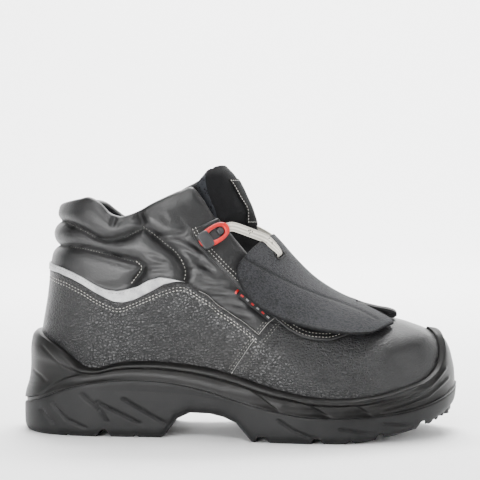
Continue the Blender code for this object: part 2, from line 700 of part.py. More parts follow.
def make_tongue():
    """Padded tongue with thin side and end borders."""
    place, thick = tongue_net()
    size = (15, 11)
    v, w = grid(0.0, 1.0, 1.0, *size)
    outer, normal, _, _ = place(v, w)
    depth = np.interp(v, np.linspace(0, 1, len(thick)), thick) * (1.0 - 0.45 * np.abs(w) ** 4)
    return shell("tongue", outer, outer - normal * depth[:, None], size, (0.02, 0.02, 0.022), 0.8)


def make_label():
    """Bare sewn patch on the tongue's front."""
    place, _ = tongue_net()
    first, final, low_reach, top_reach = LABEL_PLACE
    size = (7, 7)
    v, w = grid(first, final, 1.0, *size)
    outer, normal, _, _ = place(v, w * np.interp(v, (first, final), (low_reach, top_reach)))
    seat = GAP + 0.5
    return shell("tongue_label", outer + normal * (seat + LABEL_THICK), outer + normal * seat,
                 size, (0.015, 0.015, 0.015), 0.7)


def guard_net():
    """The guard's outer sheet over the instep."""
    return net([both_sides(row) for row in GUARD_ROWS], GUARD_ACROSS, facing=-1.0)


def cutter(name, centre, axes, size):
    """Box that cuts another piece and is left out of the model."""
    verts = []
    for a in (-0.5, 0.5):
        for b in (-0.5, 0.5):
            for c in (-0.5, 0.5):
                verts.append(centre + axes[0] * a * size[0] + axes[1] * b * size[1] + axes[2] * c * size[2])
    faces = [(0, 1, 3, 2), (4, 6, 7, 5), (0, 4, 5, 1), (2, 3, 7, 6), (0, 2, 6, 4), (1, 5, 7, 3)]
    item = finish(name, verts, faces, (1.0, 0.0, 0.0), 0.5)
    item.hide_render = True
    item.display_type = "WIRE"
    return item


def cut(item, tool):
    """Takes a cutter away from a piece."""
    change = item.modifiers.new(tool.name, "BOOLEAN")
    change.operation = "DIFFERENCE"
    change.solver = "EXACT"
    change.object = tool


def slot_frames():
    """Centre and axes of the lace slots, lateral and medial."""
    place = guard_net()
    found = []
    for sign in (-1.0, 1.0):
        point, normal, ahead, aside = place(np.array([SLOT_PLACE[0]]), np.array([sign * SLOT_PLACE[1]]))
        ahead = ahead[0] / np.linalg.norm(ahead[0])
        aside = np.cross(normal[0], ahead)
        found.append((point[0], ahead, aside, normal[0]))
    return found


def make_guard():
    """Stiff outer shell and the black layer under it, both with lace slots."""
    place = guard_net()
    size = (13, 15)
    v, w = grid(0.0, 1.0, 1.0, *size)
    outer, normal, _, _ = place(v, w)
    guard = shell("guard_shell", outer, outer - normal * GUARD_THICK, size, (0.11, 0.11, 0.113), 0.85)
    first, final, reach = LINING_PLACE
    size = (10, 13)
    v, w = grid(first, final, reach, *size)
    outer, normal, _, _ = place(v, w)
    top = GUARD_THICK + GAP + 0.15
    lining = shell("guard_lining", outer - normal * top, outer - normal * (top + LINING_THICK), size,
                   (0.015, 0.015, 0.015), 0.9)
    for number, (point, ahead, aside, up) in enumerate(slot_frames()):
        tool = cutter("slot_%d" % number, point, (ahead, aside, up), SLOT_SIZE)
        cut(guard, tool)
        cut(lining, tool)
    start, end, width = NOTCH
    centre = np.array(((start + end) / 2, 0.0, GUARD_ROWS[-1][-1][2]))
    cut(guard, cutter("front_notch", centre, np.eye(3), (end - start, width, 40.0)))


def band(name, stations, low, high, inner, outer, rows, colour, roughness):
    """Strip between two levels of the upper's sheet."""
    shares = np.linspace(0.0, 1.0, rows)
    points = []
    for depth in (outer, inner):
        lift = np.full(len(stations), -depth)
        layer = [wall_point(stations, low + (high - low) * share, lift, stepped=False) for share in shares]
        points.append(np.concatenate(layer))
    return shell(name, points[0], points[1], (rows, len(stations)), colour, roughness)


def make_trim():
    """Light strip along the quarter's top edge, round the heel."""
    side = STATIONS[STATIONS < TRIM_END]
    stations = np.concatenate(([-TRIM_END], -side[:0:-1], side, [TRIM_END]))
    low = crossing(stations, TRIM_LOW)
    high = crossing(stations, TRIM_TOP)
    seat = LEATHER_STEP + GAP
    return band("reflective_trim", stations, low, high, seat, seat + TRIM_THICK, 3, (0.7, 0.7, 0.7), 0.35)


def stay_limits(stations):
    """Lower and upper level of the eyestay at each station."""
    low = crossing(stations, EYESTAY_EDGE, first=0.2)
    high = crossing(stations, EYESTAY_TOP, first=0.4)
    top = 1.0 - STAY_BACK_OFF / SIDE_LENGTH
    return low, np.where(np.isnan(high), top, np.minimum(high, top))


def make_eyestay():
    """U-shaped overlay from the lateral hook round the throat to the medial one."""
    inside = STATIONS[(STATIONS > STAY_SIDE) & (STATIONS < TURN - STAY_SIDE)]
    stations = np.concatenate(([STAY_SIDE], inside, [TURN - STAY_SIDE]))
    low, high = stay_limits(stations)
    seat = LEATHER_STEP + GAP + 0.3
    return band("eyestay", stations, low, high, seat, seat + STAY_THICK, 5, (0.04, 0.04, 0.042), 0.5)


def make_strap():
    """Black tape folded back on itself in the guard's front notch."""
    route = np.asarray(STRAP_ROUTE, float)
    fine = hermite(np.arange(len(route)), route, np.linspace(0, len(route) - 1, 21))
    run = np.gradient(fine, axis=0)
    run /= np.linalg.norm(run, axis=1)[:, None]
    inward = np.column_stack((run[:, 1], -run[:, 0]))
    outline = np.concatenate((fine, (fine + inward * STRAP_THICK)[::-1]))
    rings = [np.column_stack((outline[:, 0], np.full(len(outline), y), outline[:, 1]))
             for y in (-STRAP_HALF_WIDTH, STRAP_HALF_WIDTH)]
    count = len(outline)
    faces = skin(rings, False)
    half = count // 2
    for base, flip in ((0, True), (count, False)):
        for i in range(half - 1):
            face = (base + i, base + i + 1, base + count - i - 2, base + count - i - 1)
            faces.append(tuple(reversed(face)) if flip else face)
    return finish("guard_strap", np.concatenate(rings), faces, (0.015, 0.015, 0.015), 0.9)


def hook_frame(sign):
    """Origin and axes of a lace hook on the eyestay: along, across and out."""
    station = HOOK_STATION if sign < 0 else TURN - HOOK_STATION
    levels = np.linspace(0.5, 1.0, 200)
    path = sheet(np.full(200, station), levels)
    level = levels[int(np.argmin(np.abs(path[:, 2] - HOOK_HEIGHT)))]
    origin = sheet([station], [level])[0]
    out = outward([station], [level])[0]
    slope = np.array((HOOK_SLOPE[0], 0.0, HOOK_SLOPE[1]))
    along = slope - out * (slope @ out)
    along /= np.linalg.norm(along)
    return origin, along, np.cross(out, along), out


def oval(length, width, count, power):
    """Rounded outline in a plane, as offsets along and across."""
    angle = np.linspace(0.0, 2.0 * math.pi, count, endpoint=False)
    near = np.sign(np.cos(angle)) * np.abs(np.cos(angle)) ** (2.0 / power) * length / 2
    side = np.sign(np.sin(angle)) * np.abs(np.sin(angle)) ** (2.0 / power) * width / 2
    return np.column_stack((near, side))


def make_hook(sign, side):
    """Dark base on the eyestay and the red loop that stands on it."""
    origin, along, across, out = hook_frame(sign)
    seat = LEATHER_STEP + STAY_THICK + 2 * GAP + 0.6

    def put(outline, shift, height):
        return origin + along * (outline[:, :1] + shift) + across * outline[:, 1:] + out * height

    plate = oval(HOOK_BASE[0], HOOK_BASE[1], 14, 3.0)
    rings = [put(plate, -3.0, seat), put(plate, -3.0, seat + HOOK_BASE[2])]
    capped("hook_base_" + side, rings, (0.05, 0.05, 0.055), 0.4)
    seat += HOOK_BASE[2] + GAP
    outer = oval(HOOK_LOOP[0], HOOK_LOOP[1], 20, 2.4)
    hole = oval(HOOK_HOLE[0], HOOK_HOLE[1], 20, 2.6)
    rings = [put(outer, 0.0, seat), put(outer, 0.0, seat + HOOK_LOOP[2]),
             put(hole, 2.0, seat + HOOK_LOOP[2]), put(hole, 2.0, seat)]
    finish("hook_loop_" + side, np.concatenate(rings), skin(rings, True), (0.72, 0.03, 0.02), 0.35)


def ribbon(name, points, wide, colour):
    """Flat lace along points, with its width along the given directions."""
    points = np.asarray(points, float)
    knots = np.arange(len(points))
    fine = np.linspace(0, len(points) - 1, 3 * len(points) - 2)
    centre = hermite(knots, points, fine)
    side = hermite(knots, np.asarray(wide, float), fine)
    run = np.gradient(centre, axis=0)
    run /= np.linalg.norm(run, axis=1)[:, None]
    side -= run * np.sum(side * run, axis=1)[:, None]
    side /= np.linalg.norm(side, axis=1)[:, None]
    up = np.cross(run, side)
    corners = ((-0.5, -0.5), (-0.5, 0.5), (0.5, 0.5), (0.5, -0.5))
    rings = [np.array([centre[i] + side[i] * a * LACE_WIDTH + up[i] * b * LACE_THICK for a, b in corners])
             for i in range(len(centre))]
    count = 4
    faces = skin(rings, False)
    last = (len(rings) - 1) * count
    faces += [(3, 2, 1, 0), (last, last + 1, last + 2, last + 3)]
    return finish(name, np.concatenate(rings), faces, colour, 0.8)


def make_laces():
    """Lace from each hook into the guard's slot, and the hidden bars below."""
    place = guard_net()
    frames = slot_frames()
    for sign, side, (slot, ahead, aside, up) in ((-1.0, "lateral", frames[0]), (1.0, "medial", frames[1])):
        origin, along, across, out = hook_frame(sign)
        under = LEATHER_STEP + STAY_THICK + 2 * GAP + 1.8
        start = origin + along * 10.2 + out * under
        leave = origin + along * 16.5 + out * (under + 0.6) - across * sign * 0.5
        point, normal, _, _ = place(np.array([0.0, 0.12]), np.array([0.34, 0.32]) * sign)
        rest = point + normal * (LACE_THICK / 2 + 0.9)
        route = [start, leave, (leave + rest[0]) / 2 + out * 0.8, rest[0], rest[1],
                 slot + up * 0.8 - ahead * 1.0, slot - up * 3.2, slot - up * 6.4 + ahead * 1.5]
        wide = [across, across, (across + aside * 1.0) / 2, aside, aside, aside, aside, aside]
        ribbon("lace_" + side, route, wide, (0.72, 0.70, 0.64))
    rows = []
    tongue, _ = tongue_net()
    for station in LACE_BARS:
        lift = LEATHER_STEP + STAY_THICK + 2 * GAP + 0.35 + LACE_THICK
        near = wall_point([station], [1.0 - 9.0 / SIDE_LENGTH], [-lift], stepped=False)[0]
        edge = wall_point([station], [1.0 - 1.0 / SIDE_LENGTH], [-lift], stepped=False)[0]
        throat = np.array(TONGUE_THROAT)[::-1]
        x, z = hermite(throat[:, 0], throat[:, 1:3], [station])[0]
        top = np.array((x, 0.0, z)) + np.array((0.72, 0.0, 0.69)) * (LACE_THICK + 0.9)
        rows.append([near, edge, top, edge * (1, -1, 1), near * (1, -1, 1)])
    place = net(rows, TONGUE_ACROSS, facing=-1.0)
    size = (11, 13)
    v, w = grid(0.0, 1.0, 1.0, *size)
    outer, normal, _, _ = place(v, w)
    keep = np.zeros((10, 12), bool)
    keep[:, :2] = True
    keep[:, -2:] = True
    keep[0::3, :] = True
    return shell("lace_bars", outer, outer - normal * LACE_THICK, size, (0.72, 0.70, 0.64), 0.8, keep)


def cut_tread(outsole):
    """Grooves between the lugs, across and along the sole."""
    axes = np.eye(3)
    number = 0
    for start, end, depth in TREAD_GROOVES:
        middle = (start + end) / 2
        floor = float(np.interp(middle, *np.transpose(TREAD)))
        centre = np.array((middle, 0.0, floor + depth - 10.0))
        cut(outsole, cutter("groove_%d" % number, centre, axes, (end - start, 140.0, 20.0)))
        number += 1
    for start, end, y, width, depth in LONG_GROOVES:
        for side in (-1, 1):
            centre = np.array(((start + end) / 2, side * y, depth - 10.0))
            cut(outsole, cutter("groove_%d" % number, centre, axes, (end - start, width, 20.0)))
            number += 1


def clear_scene():
    """Starts from an empty scene."""
    for item in list(bpy.data.objects):
        bpy.data.objects.remove(item, do_unlink=True)


def main():
    clear_scene()
    make_upper()
    make_midsole()
    cut_tread(make_outsole())
    make_insole()
    make_tongue()
    make_label()
    make_guard()
    make_trim()
    make_eyestay()
    make_strap()
    for sign, side in ((-1.0, "lateral"), (1.0, "medial")):
        make_hook(sign, side)
    make_laces()


main()
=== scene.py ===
"""Looks of the metatarsal guard boot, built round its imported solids.

Sizes are in millimetres, with x measured from the sole's back, y to the
medial side and z up, until a mesh is made. HEEL_CENTRE is where the part's
origin lies on that x axis.
"""
from __future__ import annotations

import json
import logging
import math
from dataclasses import dataclass, field
from enum import Enum

import bpy
import numpy as np
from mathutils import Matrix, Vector

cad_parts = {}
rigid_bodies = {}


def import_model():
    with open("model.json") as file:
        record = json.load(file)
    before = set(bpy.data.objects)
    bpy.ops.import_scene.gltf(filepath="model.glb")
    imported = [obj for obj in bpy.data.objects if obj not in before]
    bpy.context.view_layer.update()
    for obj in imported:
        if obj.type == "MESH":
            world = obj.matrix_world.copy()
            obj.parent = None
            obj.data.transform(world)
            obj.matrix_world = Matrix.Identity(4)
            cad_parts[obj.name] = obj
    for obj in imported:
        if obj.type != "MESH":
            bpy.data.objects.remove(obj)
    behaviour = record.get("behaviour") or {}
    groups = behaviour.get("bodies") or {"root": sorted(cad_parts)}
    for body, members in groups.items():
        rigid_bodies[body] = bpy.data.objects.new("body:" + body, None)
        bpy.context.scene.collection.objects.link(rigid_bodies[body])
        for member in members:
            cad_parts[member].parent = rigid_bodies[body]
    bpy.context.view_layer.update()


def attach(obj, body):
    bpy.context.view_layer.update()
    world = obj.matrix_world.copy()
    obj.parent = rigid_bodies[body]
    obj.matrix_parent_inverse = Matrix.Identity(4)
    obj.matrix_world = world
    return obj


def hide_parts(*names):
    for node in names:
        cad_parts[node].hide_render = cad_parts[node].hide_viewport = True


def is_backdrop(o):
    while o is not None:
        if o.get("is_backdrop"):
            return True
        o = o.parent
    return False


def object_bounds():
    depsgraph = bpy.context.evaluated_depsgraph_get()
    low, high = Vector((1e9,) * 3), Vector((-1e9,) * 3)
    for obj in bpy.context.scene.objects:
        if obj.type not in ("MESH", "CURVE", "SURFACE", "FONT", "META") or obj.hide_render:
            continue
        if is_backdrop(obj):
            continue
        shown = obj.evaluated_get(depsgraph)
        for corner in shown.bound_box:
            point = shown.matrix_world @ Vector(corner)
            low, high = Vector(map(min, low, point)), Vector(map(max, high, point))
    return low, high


Table = tuple[tuple[float, ...], ...]
Line = tuple[tuple[float, float], ...]
Array = np.ndarray
Pair = tuple[Array, Array]
Rows = list[Pair]
Material = bpy.types.Material
Object = bpy.types.Object

LOG = logging.getLogger("boot")
MM = 0.001
HEEL_CENTRE = 48.0
BODY = "root"
# points nearer than this are joined, in metres
WELD_REACH = 0.00002

# leather wall, overlays and the gaps between them
WALL = 2.6
COLLAR_PAD = 7.6
GAP = 0.35
LEATHER_STEP = 1.1
SIDE_LENGTH = 130.0

# station, x, half width, height: the upper's lines, from foot bed to top edge
BED_LINE: Table = (
    (0, 13.5, 0, 33), (1, 16, 13.5, 33), (2, 22.5, 24, 33), (3, 35, 31, 33), (4, 52, 34, 33),
    (5, 72, 34, 33), (6, 94, 33, 32.8), (7, 117, 33.5, 32), (8, 140, 36.5, 29.5), (9, 162, 41.5, 25.5),
    (10, 184, 46, 21.5), (11, 207, 48.7, 18.5), (12, 230, 48.7, 17.3), (13, 251, 46.2, 17.5),
    (14, 270, 40.5, 18.5), (15, 286, 31, 19.5), (16, 297.5, 17.5, 20.3), (17, 302.5, 0, 20.8))
LOW_LINE: Table = (
    (0, 13.5, 0, 66), (1, 16.5, 14.5, 66), (2, 23, 25, 64), (3, 36, 32, 60), (4, 52, 34.8, 57),
    (6, 94, 35, 57), (7, 117, 35.7, 56.5), (8, 140, 38.2, 54), (9, 162, 42.7, 50), (10, 184, 47.2, 45.5),
    (11, 207, 49.7, 42.5), (12, 230, 49.7, 41.5), (13, 251, 47, 42), (14, 270, 41.2, 43),
    (15, 287, 31.5, 45), (16, 298.6, 18, 47), (17, 303.5, 0, 48))
MID_LINE: Table = (
    (0, 18.5, 0, 98), (2, 27, 24.5, 97), (4, 50, 34.8, 93), (6, 93, 37.5, 90), (8, 138, 41, 85),
    (10, 182, 45.5, 72), (12, 229, 46, 60), (13, 249, 43.5, 60), (14, 267, 38, 61.5),
    (15, 282.5, 29, 63.8), (16, 292.5, 16.5, 66), (17, 296, 0, 67))
HIGH_LINE: Table = (
    (0, 21.8, 0, 131), (2, 30, 24.5, 131), (4, 50, 36, 129), (5, 71, 39, 124), (6, 93, 40, 125),
    (7, 114, 39.5, 123), (8, 134, 38.5, 116), (9, 155, 38, 106), (10, 178, 36.5, 95), (11, 203, 35, 84.5),
    (12, 226, 33.5, 77), (13, 244, 31, 74), (14, 258, 26.5, 74.8), (15, 268, 19.5, 75.8),
    (16, 274, 10.5, 76.7), (17, 276, 0, 77))
TOP_LINE: Table = (
    (0, 25, 0, 162), (1, 27, 12.5, 162.7), (2, 33.5, 23.5, 164.2), (3, 44, 32, 166.2), (4, 54, 36, 166.8),
    (4.6, 61, 37.5, 163), (5, 67.5, 38.5, 156.8), (5.4, 75, 39, 154), (6, 88, 39, 157.5),
    (6.5, 98, 38, 163), (7, 110, 35.5, 168.8), (7.5, 120, 32, 173), (8, 127, 29.5, 174.3),
    (8.4, 134, 28.5, 166), (8.8, 139, 28, 156.5), (9.2, 145.3, 27.2, 148), (10, 161.5, 25, 127),
    (11, 184, 21.5, 106.3), (12, 206.5, 18, 93.3), (13, 223.5, 15, 87), (14, 233, 12, 85.2),
    (15, 238.5, 8, 83.6), (16, 241.5, 4, 82.8), (17, 242.5, 0, 82.5))
# station, y of the foot's curved middle line, positive to the medial side
AXIS: Table = ((0, -0.5), (4, -1.2), (7, -3.5), (9, -4.5), (11, -2.5), (13, 0.3), (15, 4), (17, 6))
# how much of that curve each of the five lines keeps
AXIS_SHARE = (1.0, 1.0, 0.75, 0.45, 0.2)

# x, height: lines that are seen on the side of the upper
SEAM_TOP_ROLL: Line = (
    (20, 150), (33, 150), (41, 147.7), (50, 143.8), (57, 140), (64, 137.7), (71, 137.7), (79, 140.1),
    (86, 143.6), (92.4, 146.3))
SEAM_FRONT_PAD: Line = (
    (86, 160), (88, 155), (92.4, 146.6), (99.8, 141.5), (108.3, 134.7), (115, 129.4), (119, 123.7),
    (121.3, 118.2), (121.4, 113.2), (120, 108.5))
SEAM_LOW_ROLL: Line = (
    (20, 132.6), (38, 133), (50, 131.6), (66, 128.1), (81, 124.2), (89, 122.2), (92.3, 119), (91.3, 115.4),
    (85.2, 107.3), (81, 102.5))
SEAM_UNDER_PAD: Line = ((101.5, 140.6), (108, 140.3), (115, 140.6), (121.5, 141.8))
TRIM_TOP: Line = (
    (15, 120.4), (22, 120.3), (35, 117.5), (43, 114.5), (50.5, 110.9), (58, 106.6), (66, 103), (74, 102.1),
    (81.4, 103.5), (89, 105.6), (96.4, 109.8), (104, 112), (111.7, 111), (122, 108.6))
TRIM_LOW: Line = (
    (15, 115.2), (21, 115.2), (32, 113.8), (41.5, 110.3), (50, 106), (58, 101.3), (66, 97.1), (72.3, 94.6),
    (78.3, 94.3), (85.3, 95.9), (93, 99.5), (100.5, 103.4), (107, 107), (122, 107.6))
TRIM_STITCH: Line = (
    (12, 118.8), (22, 118.8), (35, 116), (43, 113), (50.5, 109.4), (58, 105.1), (66, 101.4), (74, 100.4),
    (81.4, 101.9), (89, 104), (96.4, 108), (103, 110.3), (108, 110.2))
QUARTER_EDGE: Line = (
    (120, 108.2), (125, 107.3), (131.4, 102.6), (137.7, 99.5), (143.9, 93.8), (150, 89.9), (156.2, 85.7),
    (162.6, 81.7), (173, 73.6))
QUARTER_STITCH: Line = (
    (12, 111.6), (20, 111.6), (37, 107), (50, 101), (58, 96), (66, 92), (73, 89.6), (78, 90), (89, 94.6),
    (100.5, 99.6), (109, 103), (116, 105), (121, 105), (127, 102), (132, 98.4), (139, 94.6), (145, 89.4),
    (151.5, 85.2), (158, 80.8), (164, 76.6), (171.2, 70.6))
VAMP_SEAM: Line = (
    (188, 90), (184.3, 84.7), (179, 80.7), (173.1, 73.6), (167.2, 66), (161.8, 57.8), (156.4, 49.6),
    (150, 38))
# the edge that the strip's lower side and the quarter make together
PANEL_EDGE: Line = TRIM_LOW[:-2] + QUARTER_EDGE
EYESTAY_EDGE: Line = (
    (120, 151), (124.7, 143.3), (128, 137.7), (133.7, 131), (143.2, 120.6), (152.1, 111.6), (160.4, 103.3),
    (172.4, 93.7), (182.7, 83.7), (192.9, 75.8), (202.1, 70.8), (211.2, 68.8), (221.3, 68.3), (231.4, 71),
    (240, 74.5), (246, 78.5), (248.5, 84))
EYESTAY_TOP: Line = ((121, 141.4), (124.7, 143.3), (142.3, 152.2), (146, 154))

# station, how much lower the collar's edge is on the medial side
MEDIAL_DROP: Table = ((0, 0), (2, 0), (3, 1.5), (4, 5), (4.6, 6.6), (5, 4.8), (5.4, 2), (6, 0), (17, 0))

# station, height of the midsole's lip
LIP: Table = (
    (0, 71), (1, 70.5), (2, 67.5), (3, 60.5), (3.5, 54.5), (4, 48.8), (4.4, 48.2), (5, 51.5), (6, 53.5),
    (7, 52.5), (8, 49.5), (9, 44), (10, 37.5), (11, 32.5), (12, 31), (13, 33), (14, 37.5), (15, 43.5),
    (15.5, 49.5), (16, 59), (16.5, 68.5), (17, 72.5))
# station, height of the moulded line between outsole and midsole
SOLE_LINE: Table = (
    (0, 19), (1, 21), (2, 25), (3, 31.5), (4, 36.5), (5, 39.5), (6, 40), (7, 38), (8, 33.5), (9, 27.5),
    (10, 22.3), (11, 18.6), (12, 18), (13, 18.8), (14, 21), (15, 25), (16, 30), (17, 34))
# station, how far the outsole's wall stands outside the upper's lower edge
FLANGE: Table = (
    (0, 13.5), (1, 12.5), (2, 9.5), (3, 7.2), (4, 6.2), (6, 5.8), (8, 6), (11, 6.3), (14, 6.3), (17, 6.5))
# x, height of the tread plane
TREAD: Line = (
    (0, 0), (104, 0), (107, 2), (114, 13), (124, 18), (138, 18), (148, 16), (157, 12.5), (168, 0),
    (236, 0), (253, 2.5), (266, 4.8), (277, 7.5), (292, 11.5), (303, 16.5), (312, 22))


class Side(Enum):
    """Which side of the shoe a thing is on; the value is the sign of y."""

    LATERAL = -1
    MEDIAL = 1


def blend(start: Array, end: Array, first: Array, final: Array, width: Array, u: Array) -> Array:
    """Reads a cubic at u, 0 to 1, from its values and slopes at both ends of a span."""
    near = start * (2 * u ** 3 - 3 * u ** 2 + 1) + first * width * (u ** 3 - 2 * u ** 2 + u)
    return near + end * (3 * u ** 2 - 2 * u ** 3) + final * width * (u ** 3 - u ** 2)


def hermite(knots: Array, values: Array, where: Array, period: float = 0.0) -> Array:
    """Reads a smooth curve through values.

    Args:
        knots: Places of the values, rising.
        values: One row for each knot.
        where: Places to read.
        period: Length of the loop where the curve is closed, else 0.

    Returns:
        One row for each place.
    """
    knots = np.asarray(knots, float)
    values = np.asarray(values, float).reshape(len(knots), -1)
    where = np.asarray(where, float)
    if period:
        knots = np.concatenate((knots[-2:] - period, knots, knots[:3] + period))
        values = np.concatenate((values[-2:], values, values[:3]))
        where = np.mod(where, period)
    else:
        knots = np.concatenate(([2 * knots[0] - knots[1]], knots, [2 * knots[-1] - knots[-2]]))
        values = np.concatenate(([2 * values[0] - values[1]], values, [2 * values[-1] - values[-2]]))
        where = np.clip(where, knots[1], knots[-2])
    span = np.diff(knots)[:, None]
    slope = np.diff(values, axis=0) / span
    tangent = (slope[:-1] * span[1:] + slope[1:] * span[:-1]) / (span[:-1] + span[1:])
    low = np.clip(np.searchsorted(knots, where, side="right") - 1, 1, len(knots) - 3)
    u = (where - knots[low])[:, None] / span[low]
    return blend(values[low], values[low + 1], tangent[low - 1], tangent[low], span[low], u)


def across_rows(knots: Array, rows: Array, where: Array) -> Array:
    """Reads a smooth curve at one place on each of many rows of points.

    Args:
        knots: Places of the row's points, rising; one set for all rows, or one for each.
        rows: Points, as rows by knots by 3.
        where: One place for each row.

    Returns:
        One point for each row.
    """
    knots = np.broadcast_to(np.asarray(knots, float), rows.shape[:2])
    before = 2 * rows[:, :1] - rows[:, 1:2]
    after = 2 * rows[:, -1:] - rows[:, -2:-1]
    points = np.concatenate((before, rows, after), axis=1)
    first = 2 * knots[:, :1] - knots[:, 1:2]
    last = 2 * knots[:, -1:] - knots[:, -2:-1]
    knots = np.concatenate((first, knots, last), axis=1)
    count = knots.shape[1]
    low = np.clip((knots[:, 1:-1] <= where[:, None] + 1e-9).sum(axis=1), 1, count - 3)
    span = np.diff(knots, axis=1)[:, :, None]
    slope = np.diff(points, axis=1) / span
    tangent = (slope[:, :-1] * span[:, 1:] + slope[:, 1:] * span[:, :-1]) / (span[:, :-1] + span[:, 1:])
    index = np.arange(len(rows))
    width = span[index, low]
    u = (where - knots[index, low])[:, None] / width
    start, end = points[index, low], points[index, low + 1]
    return blend(start, end, tangent[index, low - 1], tangent[index, low], width, u)


def ease(value: Array) -> Array:
    """Smooth step from 0 to 1."""
    value = np.clip(value, 0.0, 1.0)
    return value * value * (3.0 - 2.0 * value)


def nearest(points: Array, line: Line) -> Pair:
    """Measures the side-view distance to a line.

    Args:
        points: Points as x, y, z.
        line: The line as x, z.

    Returns:
        Distances, positive on the line's left as it runs, and the nearest place along it, 0 to 1.
    """
    flat = points[:, (0, 2)]
    route = np.asarray(line, float)
    best, signed, along = np.full(len(flat), 1e9), np.zeros(len(flat)), np.zeros(len(flat))
    for number, (start, end) in enumerate(zip(route[:-1], route[1:])):
        run = end - start
        share = np.clip(((flat - start) @ run) / (run @ run), 0.0, 1.0)
        length = np.linalg.norm(flat - (start + share[:, None] * run), axis=1)
        side = np.sign(run[0] * (flat - start)[:, 1] - run[1] * (flat - start)[:, 0])
        nearer = length < best
        best = np.where(nearer, length, best)
        signed = np.where(nearer, length * side, signed)
        along = np.where(nearer, (number + share) / (len(route) - 1), along)
    return signed, along


def distance(points: Array, line: Line) -> Array:
    """Side-view distance to a line, positive on its left as it runs."""
    return nearest(points, line)[0]


def unit(vectors: Array) -> Array:
    """Gives each row the length 1."""
    return vectors / np.maximum(np.linalg.norm(vectors, axis=-1, keepdims=True), 1e-9)


def reach_of(points: Array) -> Array:
    """Length of a path up to each of its points."""
    return np.concatenate(([0.0], np.cumsum(np.linalg.norm(np.diff(points, axis=0), axis=1))))


def heading(points: Array) -> Array:
    """Unit direction of a path at each of its points."""
    return unit(np.gradient(points, axis=0))


def smooth(line: Array | Line, count: int) -> Array:
    """That many points of a smooth curve through a line's points."""
    return hermite(np.arange(len(line)), line, np.linspace(0, len(line) - 1, count))


def outline(length: float, width: float, count: int, power: float) -> Array:
    """Rounded outline as offsets along and across; a power of 2 is an ellipse."""
    angle = np.linspace(0.0, 2.0 * math.pi, count, endpoint=False)
    wave = np.column_stack((np.cos(angle), np.sin(angle)))
    return np.sign(wave) * np.abs(wave) ** (2.0 / power) * (length / 2, width / 2)


def in_metres(points: Array) -> list[list[float]]:
    """Points measured in metres from the part's origin."""
    return ((points - (HEEL_CENTRE, 0.0, 0.0)) * MM).tolist()


def new_object(name: str, data: bpy.types.ID) -> Object:
    """Makes an object in the scene."""
    item = bpy.data.objects.new(name, data)
    bpy.context.scene.collection.objects.link(item)
    return item


def resample(points: Array, pitch: float) -> Array:
    """Spaces points evenly along a path.

    Args:
        points: The path's points.
        pitch: Wanted distance between two points.

    Returns:
        Points about a pitch apart, ends included.
    """
    reach = reach_of(points)
    count = max(2, int(round(reach[-1] / pitch)) + 1)
    where = np.linspace(0.0, reach[-1], count)
    return np.column_stack([np.interp(where, reach, points[:, axis]) for axis in range(points.shape[1])])


